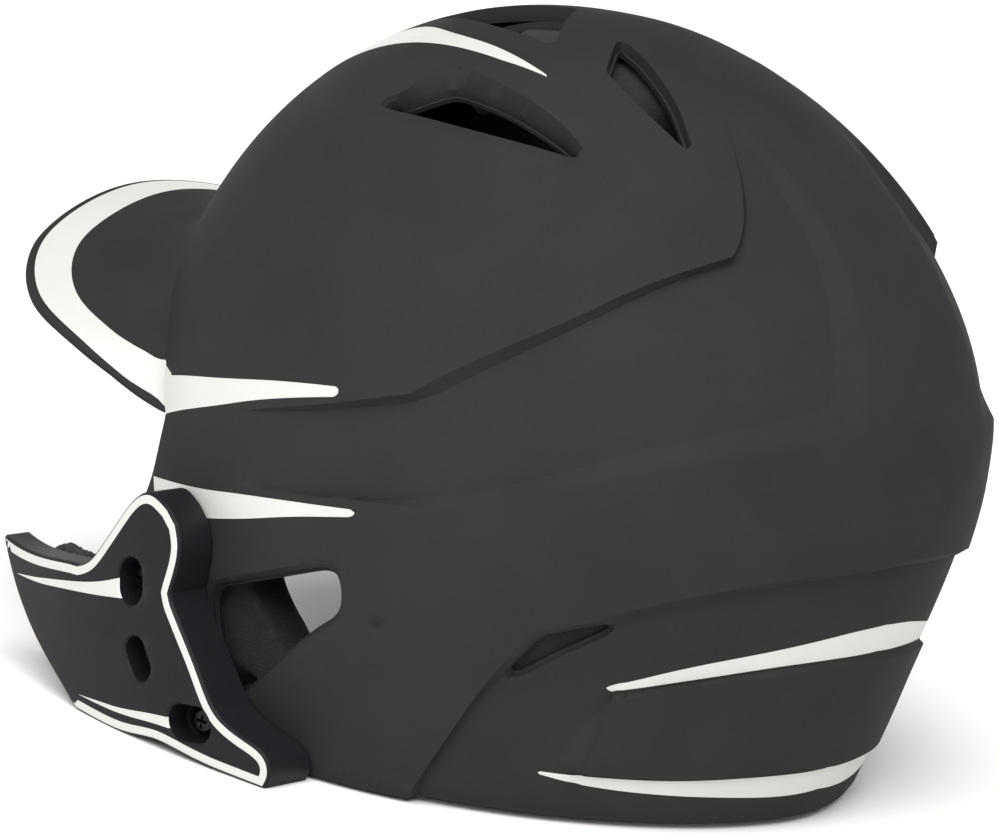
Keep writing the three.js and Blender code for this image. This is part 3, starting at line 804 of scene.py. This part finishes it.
def brim_columns():
    """The brim's edge and root, column by column from the wearer's right to the left."""
    points = np.array(BRIM_EDGE, float)
    mirror = points[1] * (-1, 1, 1)
    knots = np.vstack([mirror, points, 2 * points[-1] - points[-2]])
    edge = []
    for a, b, c, d in zip(knots, knots[1:], knots[2:], knots[3:]):
        slope, curve, twist = c - a, 2 * a - 5 * b + 4 * c - d, 3 * b - a - 3 * c + d
        for f in np.arange(BRIM_COLUMNS) / BRIM_COLUMNS:
            edge.append(0.5 * (2 * b + slope * f + curve * f**2 + twist * f**3))
    edge = np.array([*edge, points[-1]])
    t = np.linspace(0, 1, len(edge))
    end = project(BRIM_END)[0]
    edge += (end - edge) * smooth((t - 0.9) / 0.1)[:, None]
    angle = np.radians(BRIM_ROOT["first"] + (BRIM_ROOT["last"] - BRIM_ROOT["first"]) * t)
    z = BRIM_ROOT["z"] + (BRIM_ROOT["last_z"] - BRIM_ROOT["z"]) * t**1.7
    root = np.array([around_dome(h, math.degrees(a), math.degrees(a))[0] for a, h in zip(angle, z)])
    root -= normals(flatten(root)) * WALL * 0.55
    return whole(edge), whole(root)


def brim_column(face, up, side):
    """A column of the brim's points: from the root along the underside, round the lip, and back on top."""
    fine = np.linspace(0, 1, BRIM_FINE)
    at = lambda s: np.column_stack([np.interp(s, fine, face[:, k]) for k in range(3)])
    crossing = np.flatnonzero(level(face) < 0)
    stop = fine[max(crossing[0], 4)] if len(crossing) else 1.0
    width = np.linalg.norm(at(stop) - at(0))
    fillet = min(BRIM_FILLET[0] + (BRIM_FILLET[1] - BRIM_FILLET[0]) * smooth(side / 0.8), 0.75 * width)
    start = stop * (1 - fillet / max(width, 1e-3))
    corner = at(stop)[0]
    end = project(corner + (0, 0, 0.8 * BRIM_FILLET[0]))
    end = (end - normals(flatten(end)) * 0.12)[0]
    f = np.linspace(0, 1, BRIM_BEND)[1:, None]
    bend = (1 - f) ** 2 * at(start) + 2 * f * (1 - f) * corner + f * f * end
    path = np.vstack([at(np.linspace(0, start, BRIM_PATH)), bend])
    along = np.concatenate([[0], np.cumsum(np.linalg.norm(np.diff(path, axis=0), axis=1))])
    on_path = lambda s: np.column_stack([np.interp(s, along, path[:, k]) for k in range(3)])
    inner = min(BAND[1], 0.97 * along[-1])
    outer = min(BAND[0], 0.25 * inner)
    thick = min(BRIM_THICKNESS, 0.3 * width + 0.2)
    lip = np.array(BRIM_LIP) * min(1, outer / 2)
    stops = [lip[0], outer, inner, along[-1]]
    top = np.concatenate([np.linspace(a, b, n)[1:] for a, b, n in zip(stops, stops[1:], BRIM_TOP)])
    round_lip = on_path([*lip[1:], 0, *lip[:0:-1]]) - up * (np.array(BRIM_LIP_DROP) * thick)[:, None]
    under = at(np.linspace(1, lip[0] / max(along[-1], 1e-3), BRIM_UNDER)) - up * thick
    return np.vstack([under, round_lip, on_path([lip[0], *top])])


def brim_parts():
    edge, root = brim_columns()
    fine = np.linspace(0, 1, BRIM_FINE)
    face = edge[:, None] + (root - edge)[:, None] * fine[None, :, None]
    face[..., 2] += BRIM_SWEEP * fine**4
    up = unit(np.cross(np.gradient(face, axis=0), np.gradient(face, axis=1)))
    up *= np.sign(up[..., 2:3] + 1e-9)
    sides = np.abs(2 * np.arange(len(edge)) / (len(edge) - 1) - 1)
    grid = np.array([brim_column(f, unit(u[2:9].mean(axis=0)), side) for f, u, side in zip(face, up, sides)])
    height = grid.shape[1]
    band_from = BRIM_UNDER + len(BRIM_LIP_DROP) + BRIM_TOP[0] - 1
    band = range(band_from, band_from + BRIM_TOP[1] - 1)
    faces = []
    which = []
    for i in range(len(edge) - 1):
        for j in range(height - 1):
            a = i * height + j
            faces.append((a, a + 1, a + 1 + height, a + height))
            which.append(1 if j in band else 0)
    return grid.reshape(-1, 3), faces, which


def shell():
    points, faces, which = shell_parts()
    brim_points, brim_faces, brim_which = brim_parts()
    faces += [[i + len(points) for i in f] for f in brim_faces]
    points = np.vstack([points, brim_points])
    made = piece("outer_shell_skin", points, faces, [SHELL, WHITE, LINING], which + brim_which)
    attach(made, "helmet")
    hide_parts("outer_shell")


shell()


# ---- the jaw guard ----

# The face's farthest x, how it bends in towards the front, and how it falls away above and below its crown
GUARD_FACE = {"x": 118.5, "bend_from": -8, "bend": 0.00245, "crown_z": 35, "crown": 3, "crown_half": 40}
GUARD_DEPTH = (9.5, 19)  # in front, and over the ear flap
GUARD_GAP = 0.9  # least gap to the shell
TILT = 4  # degrees that the guard tilts either way
GUARD_LIP = 1.0
GUARD_LINE = (0.7, 2.9)  # the painted border's distances from the guard's edge
GUARD_RINGS = (0.3, GUARD_LINE[0], GUARD_LIP, GUARD_LINE[1])  # lines along its edge that the mesh follows
GUARD_GRID = 2.6
GUARD_OUTLINE = [
    [(-114.5, 34), (-106, 34), (-94, 35), (-76, 38)],
    [(-72, 38.5), (-69, 39.5), (-66.5, 41), (-59, 51.5), (-52, 62), (-48.5, 64.5), (-44.5, 65), (-38, 62.5)],
    [(-34, 59.5), (-31.5, 55), (-31, 50), (-32.5, 41.5)],
    [(-31, 39), (-20.5, 27), (-12, 15.5), (-9.5, 14), (-4, 12), (5.5, 9.5), (8, 6.5), (8, 2), (6, 0)],
    [(4.5, 0), (-14, 0.5), (-32, 2), (-36, 1.5), (-46, 0), (-66.5, 0)],
    [(-69, 1), (-72, 3), (-84, 9.5), (-92, 14), (-104.5, 23), (-113, 31), (-115, 33)],
]
GUARD_BARE_EDGE = 5  # the run of the outline that has no painted border
GUARD_STRIPES = [
    [[(-104, 26.5), (-90, 28), (-79, 30), (-62, 33), (-49.5, 35.5)], [(-49.5, 41.5), (-62, 36.5), (-92, 29)]],
    [[(-66, 4.5), (-47, 5), (-33, 6.5), (-23, 7)], [(-25, 10), (-36, 8.5), (-47, 6.5), (-57, 5.5)]],
]
UPPER_SCREW = joint_place("upper_screw_turn")[1:]
LOWER_SCREW = joint_place("lower_screw_turn")[1:]
SLOTS = [
    {"at": (-48, 40.5), "r": 4.8, "travel": 3, "turn": 102, "shank_r": 3.2},
    {"at": (-20.5, 10), "r": 4.9, "travel": 5.5, "turn": 8, "shank_r": 3.6},
    {"at": (-41.5, 21.5), "r": 3.9, "travel": 4.5, "turn": 128, "shank_r": 2.4},
]
SLOT_SEAT = 8.2  # how deep the seats are that the screws' heads bear on
HOLE_BREAK = 0.5


def face_x(y, z):
    """The x of the guard's outer face."""
    bend = GUARD_FACE["bend"] * np.minimum(0, y - GUARD_FACE["bend_from"]) ** 2
    crown = GUARD_FACE["crown"] * ((z - GUARD_FACE["crown_z"]) / GUARD_FACE["crown_half"]) ** 2
    return GUARD_FACE["x"] - bend - crown


def swept_x(y, z):
    """How far out the shell reaches towards the guard while the guard tilts through its range."""
    out = np.full(len(y), -1e3)
    for turn in np.radians(np.linspace(-TILT, TILT, 5)):
        dy, dz = y - PIVOT[1], z - PIVOT[2]
        sy = PIVOT[1] + dy * math.cos(turn) - dz * math.sin(turn)
        sz = PIVOT[2] + dy * math.sin(turn) + dz * math.cos(turn)
        share = np.minimum(np.abs(sy) / reach(FRONT, sz), 1)
        out = np.maximum(out, reach(SIDE, sz) * section(share))
    return out + GUARD_GAP


def guard_depth(y):
    """How deep the guard is from face to back."""
    return GUARD_DEPTH[0] + (GUARD_DEPTH[1] - GUARD_DEPTH[0]) * smooth((y + 74) / 10)


def flat_offset(loop, by):
    """A closed plane loop moved to its left by a distance."""
    ahead = unit(np.roll(loop, -1, axis=0) - np.roll(loop, 1, axis=0))
    return loop + np.column_stack([-ahead[:, 1], ahead[:, 0]]) * by


def obround(slot, r, count=40):
    """A slot's outline in (y, z)."""
    turn = math.radians(slot["turn"])
    a = (np.arange(count) + 0.5) * 2 * math.pi / count
    u = np.cos(a) * r + np.sign(np.cos(a)) * slot["travel"] / 2
    v = np.sin(a) * r
    spin = np.array([[math.cos(turn), math.sin(turn)], [-math.sin(turn), math.cos(turn)]])
    return np.array(slot["at"]) + np.column_stack([u, v]) @ spin


def guard_holes():
    """Each slot's outlines at the face and through its seat, as (y, z)."""
    return [(obround(slot, slot["r"]), obround(slot, slot["shank_r"])) for slot in SLOTS]


def plane_run(points):
    """A smooth line through plane points."""
    return run([(*p, 0) for p in points])[:, :2]


def plane_loop(runs):
    """A closed loop of runs of plane points."""
    return closed([[(*p, 0) for p in points] for points in runs])[:, :2]


def plane_distance(q, lines, far=4.0):
    """How far plane points are from the nearest of the lines."""
    raised = lambda p: np.column_stack([p, np.zeros(len(p))])
    return distance(raised(q), [raised(p) for p in lines], far)


def guard_sheet(outline, holes, lips, stripes, bare):
    """A plane sheet of the guard's outline with holes: its points, its faces, and its painted faces."""
    lo, hi = outline.min(axis=0), outline.max(axis=0)
    u, v = np.meshgrid(np.arange(lo[0], hi[0], GUARD_GRID), np.arange(lo[1], hi[1], GUARD_GRID))
    grid = np.column_stack([u.ravel(), v.ravel()])
    open_lines = [ring(flat_offset(outline, by)) for by in lips]
    open_lines += [ring(flat_offset(hole, -HOLE_BREAK)) for hole in holes]
    points, faces = triangulated(grid, open_lines, [outline, *holes, *stripes], 0.8)
    middle = points[faces].mean(axis=1)
    keep = inside(outline, middle)
    for hole in holes:
        keep &= ~inside(hole, middle)
    middle = middle[keep]
    border = plane_distance(middle, [ring(outline)])
    near_bare = plane_distance(middle, [bare], 5) < border + 1e-6
    white = (border > GUARD_LINE[0]) & (border < GUARD_LINE[1]) & ~near_bare
    for stripe in stripes:
        white |= inside(stripe, middle) & (border > GUARD_LINE[0])
    return *only_used(points, faces[keep]), white


def loft(loops):
    """Quads joining closed loops of equal length, in order."""
    count = len(loops[0])
    faces = []
    for k in range(len(loops) - 1):
        for i in range(count):
            j = (i + 1) % count
            faces.append((k * count + i, k * count + j, (k + 1) * count + j, (k + 1) * count + i))
    return np.vstack(loops), faces


def join_parts(parts):
    """Several (points, faces, materials) as one."""
    points, faces, which = [], [], []
    for p, f, w in parts:
        first = sum(len(q) for q in points)
        points.append(p)
        faces += [[int(i) + first for i in face] for face in f]
        which += list(w) if np.ndim(w) else [w] * len(f)
    return np.vstack(points), faces, which


def with_x(loop, x):
    """(y, z) points at x."""
    return np.column_stack([np.broadcast_to(x, len(loop)), loop])


def back_x(loop):
    """The x of the guard's back, clear of the shell all through the tilt."""
    y, z = loop.T
    return np.maximum(face_x(y, z) - guard_depth(y), swept_x(y, z))


def jaw_guard():
    outline = plane_loop(GUARD_OUTLINE)[::-1]
    stripes = [plane_loop(runs) for runs in GUARD_STRIPES]
    bare = plane_run(GUARD_OUTLINE[GUARD_BARE_EDGE])
    heads, shanks = zip(*guard_holes())
    face_points, face_faces, white = guard_sheet(outline, heads, GUARD_RINGS, stripes, bare)
    edge = plane_distance(face_points, [ring(outline)])
    drop = rounding(edge, GUARD_LIP)
    hole_edge = plane_distance(face_points, [ring(head) for head in heads])
    drop += HOLE_BREAK * np.clip(1 - hole_edge / HOLE_BREAK, 0, 1)
    parts = [(with_x(face_points, face_x(*face_points.T) - drop), face_faces, np.where(white, 1, 0))]
    rear_points, rear_faces, _ = guard_sheet(outline, shanks, (1.0,), [], bare)
    parts.append((with_x(rear_points, back_x(rear_points)), rear_faces[:, ::-1], 0))
    front_x = face_x(*outline.T) - GUARD_LIP
    depths = [with_x(outline, front_x + (back_x(outline) - front_x) * share) for share in (0, 0.33, 0.67, 1)]
    parts.append((*loft(depths), 0))
    for head, shank in zip(heads, shanks):
        seat = face_x(*head.mean(axis=0)) - SLOT_SEAT
        loops = [with_x(head, face_x(*head.T) - HOLE_BREAK), with_x(head, seat), with_x(shank, seat),
                 with_x(shank, back_x(shank))]
        parts.append((*loft([p[::-1] for p in loops]), 0))
    points, faces, which = join_parts(parts)
    made = piece("jaw_guard_shell", points, faces, [GUARD, WHITE], which, sharp=42)
    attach(made, "guard")
    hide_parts("jaw_guard")


jaw_guard()


# ---- the guard's screws and flanged nuts ----

SCREW_SHANK_R = 2.4
SCREW_HEAD_R = 4
SCREW_HEAD_HEIGHT = 2.6
SCREW_HEAD_CROWN = 1.7  # how much narrower the head's top is
THREAD_PITCH = 0.8
THREAD_DEPTH = 0.32
THREAD_STEPS = 6  # rings in each pitch
THREAD_START = 4  # plain shank under the head
RECESS = {"width": 0.95, "reach": 1.9, "depth": 1.5, "mouth": 1.15, "foot": 0.5}  # the last two are tapers
NUT_FLANGE_R = 7.5
NUT_FLANGE = 1.4
NUT_BARREL_R = 3.2
NUT_HOLE_R = 2.46
AROUND = 40  # points round a screw or nut


def lathed(at, outline):
    """Points and faces round the x axis through (y, z), from pairs of x and radius, first to last."""
    a = np.arange(AROUND) * 2 * math.pi / AROUND
    across = lambda r: np.column_stack([at[0] + r * np.cos(a), at[1] + r * np.sin(a)])
    return loft([with_x(across(r), x) for x, r in outline])


def span(node):
    """A node's lowest and highest x, in helmet millimetres."""
    low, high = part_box(node)
    return low[0] * 1000 - OFFSET[0], high[0] * 1000 - OFFSET[0]


def guard_screw(name, at):
    """A pan-head screw with a helical thread and a cross recess."""
    tip, top = span(name)
    under = top - SCREW_HEAD_HEIGHT
    a = np.arange(AROUND) * 2 * math.pi / AROUND
    outline = [(tip, 0.01), (tip, SCREW_SHANK_R - 0.7)]
    steps = round((under - THREAD_START - tip) / THREAD_PITCH * THREAD_STEPS)
    for x in np.linspace(tip + 0.4, under - THREAD_START, steps):
        wave = 0.5 - 0.5 * np.cos(2 * math.pi * (x / THREAD_PITCH) - a)
        run_out = smooth((under - THREAD_START - x) / THREAD_PITCH) * THREAD_DEPTH
        outline.append((x, SCREW_SHANK_R - run_out * wave))
    outline += [(under - 0.3, SCREW_SHANK_R), (under, SCREW_SHANK_R + 0.3), (under, SCREW_HEAD_R - 0.2)]
    for turn in np.radians(np.linspace(0, 90, 12)):
        r = SCREW_HEAD_R - SCREW_HEAD_CROWN * (1 - math.cos(turn))
        outline.append((under + 0.3 + (SCREW_HEAD_HEIGHT - 0.5) * math.sin(turn) ** 0.9, r))
    outline += [(top - 0.06, 1.6), (top, 0.8), (top, 0.01)]
    points, faces = lathed(at, outline)
    made = piece(name + "_body", points, [f[::-1] for f in faces], [SCREW], sharp=50)
    recess = cross_recess(at, top)
    cut = made.modifiers.new("Recess", "BOOLEAN")
    cut.object = recess
    cut.operation = "DIFFERENCE"
    applied(made)
    bpy.data.objects.remove(recess)
    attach(made, name.replace("_guard", ""))
    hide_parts(name)


def cross_recess(at, top):
    """The tapered cross that a driver fits."""
    w, far = RECESS["width"] / 2, RECESS["reach"]
    arm = np.array([(w, w), (far, w), (far, -w)])
    quarter = np.array([(0, -1), (1, 0)])
    cross = np.vstack([arm @ np.linalg.matrix_power(quarter, turn) for turn in range(4)])
    ends = ((RECESS["mouth"], top + 1), (RECESS["foot"], top - RECESS["depth"]))
    loops = [with_x(cross * size + at, x) for size, x in ends]
    points, faces = loft(loops)
    count = len(cross)
    faces += [tuple(range(count))[::-1], tuple(range(count, 2 * count))]
    return piece("recess", points, faces, [SCREW])


def flanged_nut(name, at):
    """A flanged barrel nut, pressed in from inside the shell."""
    inner, outer = span(name)
    step = inner + NUT_FLANGE
    outline = [
        (outer - 0.3, NUT_HOLE_R), (outer, NUT_HOLE_R + 0.25), (outer, NUT_BARREL_R - 0.2),
        (outer - 0.2, NUT_BARREL_R), (step + 0.3, NUT_BARREL_R), (step, NUT_BARREL_R + 0.3),
        (step, NUT_FLANGE_R - 0.35), (step - 0.1, NUT_FLANGE_R - 0.1), (step - 0.35, NUT_FLANGE_R),
        (inner + 0.35, NUT_FLANGE_R), (inner + 0.1, NUT_FLANGE_R - 0.1), (inner, NUT_FLANGE_R - 0.35),
        (inner, NUT_HOLE_R + 0.6), (inner + 0.5, NUT_HOLE_R), (outer - 0.3, NUT_HOLE_R),
    ]
    points, faces = lathed(at, outline)
    made = piece(name + "_body", points, faces, [NUT], sharp=30)
    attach(made, "helmet")
    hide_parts(name)


# ---- the liner ----

VOXEL = 4.5  # mesh size of a cover before it is swollen
PADS = [
    "forehead_pad", "front_crown_pad", "crown_pad", "rear_crown_pad", "rear_pad", "nape_pad",
    "temple_pad_left", "temple_pad_right", "side_pad_left", "side_pad_right",
    "rear_side_pad_left", "rear_side_pad_right", "ear_pad_left", "ear_pad_right",
]
START_SMALLER = 1.2
MOST_MOVE = 6  # how far a cover may swell
PRESSURE = 4
STEPS = 20
PROUD = {"shell": -0.1, "side": 0.5, "head": 2.2}  # how far a cover may stand out of its CAD solid
SEAM_DEPTH = 0.9
SEAM_HALF = 0.16  # half the seam's width, as a share of the pad's thickness
SEAM_AT = 0.42
FOAM_PROUD = {"shell": 0.1, "side": 2, "head": 1}
FOAM_PITS = {"scale": 0.9, "finer": 2.3, "depth": 0.45, "voxel": 1.1}


def applied(made):
    """The object's mesh with its modifiers worked in, and none left on it."""
    now = made.evaluated_get(bpy.context.evaluated_depsgraph_get())
    mesh = bpy.data.meshes.new_from_object(now)
    made.modifiers.clear()
    made.data = mesh


def vertices(made):
    flat = np.empty(len(made.data.vertices) * 3)
    made.data.vertices.foreach_get("co", flat)
    return flat.reshape(-1, 3) * 1000 - OFFSET


def set_vertices(made, points):
    made.data.vertices.foreach_set("co", to_frame(points).ravel())
    made.data.update()


def vertex_normals(made):
    return np.array([v.normal[:] for v in made.data.vertices])


def remeshed(made, voxel):
    """Gives the object an even mesh of this size in millimetres."""
    remesh = made.modifiers.new("Remesh", "REMESH")
    remesh.mode = "VOXEL"
    remesh.voxel_size = voxel / 1000
    applied(made)


def cover(node, name, finish):
    """A slightly small copy of a pad's CAD solid, evenly meshed, to be swollen as cloth."""
    made = bpy.data.objects.new(name, bpy.data.objects[node].data.copy())
    bpy.context.scene.collection.objects.link(made)
    remeshed(made, VOXEL)
    made.data.materials.clear()
    made.data.materials.append(finish)
    set_vertices(made, vertices(made) - vertex_normals(made) * START_SMALLER)
    return made


def swell(covers):
    """Blows every cover up a little, as cloth round foam, all in one run of the simulation."""
    start = [vertices(made) for made in covers]
    for made in covers:
        cloth = made.modifiers.new("Cloth", "CLOTH")
        cloth.settings.use_pressure = True
        cloth.settings.uniform_pressure_force = PRESSURE
        cloth.settings.effector_weights.gravity = 0
        cloth.point_cache.frame_start = 1
        cloth.point_cache.frame_end = STEPS
    for step in range(1, STEPS + 1):
        bpy.context.scene.frame_set(step)
    for made, before in zip(covers, start):
        applied(made)
        move = vertices(made) - before
        far = np.linalg.norm(move, axis=1, keepdims=True)
        set_vertices(made, before + move * np.minimum(1, MOST_MOVE / np.maximum(far, 1e-6)))
    bpy.context.scene.frame_set(1)


def held_in(made, node, proud):
    """Keeps a cover inside the space its CAD solid holds, but for what may stand proud of it."""
    solid = bpy.data.objects[node].data
    tree = BVHTree.FromPolygons([v.co[:] for v in solid.vertices], [p.vertices[:] for p in solid.polygons])
    points = vertices(made)
    for i, p in enumerate(points):
        near, normal, *_ = tree.find_nearest(Vector(to_frame(p)))
        near = np.array(near) * 1000 - OFFSET
        normal = np.array(normal)
        facing = normal @ unit(near - MIDDLE)
        side = "shell" if facing > 0.5 else "head" if facing < -0.5 else "side"
        out = (p - near) @ normal
        if out > proud[side]:
            points[i] = p - normal * (out - proud[side])
    set_vertices(made, points)


def sew(made):
    """Draws the cover in along the seam that runs round a pad between its face and its back."""
    points = vertices(made)
    away = np.linalg.norm(points - MIDDLE, axis=1)
    rays = np.linalg.norm(project(points) - MIDDLE, axis=1) - away
    share = (rays - rays.min()) / (rays.max() - rays.min())
    normal = vertex_normals(made)
    sideways = 1 - np.abs((normal * unit(points - MIDDLE)).sum(axis=1))
    pull = np.clip(1 - np.abs(share - SEAM_AT) / SEAM_HALF, 0, 1) * smooth(sideways * 2 - 0.6)
    set_vertices(made, points - normal * (pull * SEAM_DEPTH)[:, None])


def rounded_off(made):
    fine = made.modifiers.new("Fine", "SUBSURF")
    fine.levels = 1
    fine.render_levels = 1
    applied(made)
    smooth_shaded(made.data)


def torn(made):
    """The pitted surface of cut open-cell foam."""
    points = vertices(made)
    pits = np.zeros(len(points))
    for scale in (FOAM_PITS["scale"], FOAM_PITS["scale"] * FOAM_PITS["finer"]):
        pits += [rough_noise.noise(Vector(p * scale)) for p in points]
    set_vertices(made, points + vertex_normals(made) * (pits * FOAM_PITS["depth"])[:, None])


def liner():
    covers = [cover(node, node + "_cushion", KNIT) for node in PADS]
    block = cover("jaw_guard_pad", "jaw_guard_foam", FOAM)
    swell([*covers, block])
    for node, made in zip(PADS, covers):
        held_in(made, node, PROUD)
        rounded_off(made)
        sew(made)
        finished(made, "helmet", node)
    held_in(block, "jaw_guard_pad", FOAM_PROUD)
    remeshed(block, FOAM_PITS["voxel"])
    torn(block)
    smooth_shaded(block.data)
    finished(block, "guard", "jaw_guard_pad")


def finished(made, body, node):
    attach(made, body)
    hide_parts(node)


guard_screw("upper_guard_screw", UPPER_SCREW)
guard_screw("lower_guard_screw", LOWER_SCREW)
flanged_nut("upper_guard_nut", UPPER_SCREW)
flanged_nut("lower_guard_nut", LOWER_SCREW)
liner()


# ---- the set ----

def light(name, at, aim, size, watts):
    lamp = bpy.data.lights.new(name, "AREA")
    lamp.shape = "RECTANGLE"
    lamp.size, lamp.size_y = size
    lamp.energy = watts
    made = bpy.data.objects.new(name, lamp)
    made.location = at
    made.rotation_euler = (Vector(aim) - Vector(at)).to_track_quat("-Z", "Y").to_euler()
    bpy.context.scene.collection.objects.link(made)


SUN = {"energy": 4.1, "angle": 60, "color": (1.0, 0.98, 0.96), "from": (0.48, 0.28, 0.83)}


def overhead():
    """A broad, even light from above, as from a large softbox."""
    lamp = bpy.data.lights.new("overhead", "SUN")
    lamp.energy = SUN["energy"]
    lamp.angle = math.radians(SUN["angle"])
    lamp.color = SUN["color"]
    made = bpy.data.objects.new("overhead", lamp)
    made.rotation_euler = Vector(SUN["from"]).to_track_quat("Z", "Y").to_euler()
    bpy.context.scene.collection.objects.link(made)


FLOOR = {"flat_r": 4.0, "bend_r": 2.5, "around": 96}  # metres


def floor():
    """A pale sheet that lies flat round the helmet and curves up far behind it on every side."""
    flat_r, bend_r, around = FLOOR.values()
    profile = [(flat_r * k / 4, 0) for k in range(1, 5)]
    for a in np.radians(range(6, 85, 6)):
        profile.append((flat_r + bend_r * math.sin(a), bend_r * (1 - math.cos(a))))
    turns = np.arange(around) * 2 * math.pi / around
    rings = [np.column_stack([r * np.cos(turns), r * np.sin(turns), np.full(around, z)]) for r, z in profile]
    points, faces = loft(rings)
    fan = [(0, 1 + i, 1 + (i + 1) % around) for i in range(around)]
    sheet = [[v + 1 for v in face[::-1]] for face in faces]
    mesh = bpy.data.meshes.new("floor")
    mesh.from_pydata([(0, 0, 0), *points.tolist()], [], fan + sheet)
    smooth_shaded(mesh)
    made = bpy.data.objects.new("floor", mesh)
    bpy.context.scene.collection.objects.link(made)
    paper, tree, shader = material("paper", (0.93, 0.93, 0.93), 0.9)
    shade = ramp(tree, noise(tree, 6, 2), (0.93, 0.93, 0.93), (0.95, 0.95, 0.95))
    tree.links.new(shade, shader.inputs["Base Color"])
    mesh.materials.append(paper)


# The angles are in degrees: round from +X towards the back, up from level, and roll. The target is in helmet
# millimetres, the distance in metres, and the lens in millimetres.
CAMERA = {
    "around": 36.23, "rise": 11.3, "roll": 8.09,
    "target": (-3.4, -24.3, 80.2), "distance": 1.3, "lens": 171.1,
}


def camera():
    """The photograph's view, from the wearer's left and behind, rolled because the helmet was tipped."""
    around, rise, roll = (math.radians(CAMERA[name]) for name in ("around", "rise", "roll"))
    back = Vector((math.cos(rise) * math.cos(around), math.cos(rise) * math.sin(around), math.sin(rise)))
    level_right = Vector((-math.sin(around), math.cos(around), 0))
    right = level_right * math.cos(roll) + back.cross(level_right) * math.sin(roll)
    up = back.cross(right)
    target = Vector(to_frame(CAMERA["target"]))
    lens = bpy.data.cameras.new("camera")
    lens.sensor_width = 36
    lens.lens = CAMERA["lens"]
    made = bpy.data.objects.new("camera", lens)
    turn = Matrix((right, up, back)).transposed().to_4x4()
    made.matrix_world = Matrix.Translation(target + back * CAMERA["distance"]) @ turn
    bpy.context.scene.collection.objects.link(made)
    bpy.context.scene.camera = made


def world():
    """An even dim light from all round."""
    made = bpy.data.worlds.new("studio")
    made.use_nodes = True
    made.node_tree.nodes["Background"].inputs["Color"].default_value = (1, 1, 1, 1)
    made.node_tree.nodes["Background"].inputs["Strength"].default_value = 0.24
    bpy.context.scene.world = made


floor()
world()
camera()
overhead()
light("fill", (1.5, 0.3, 0.7), (0, 0, 0.1), (1.0, 0.8), 5)
bpy.context.scene.view_settings.view_transform = "Standard"
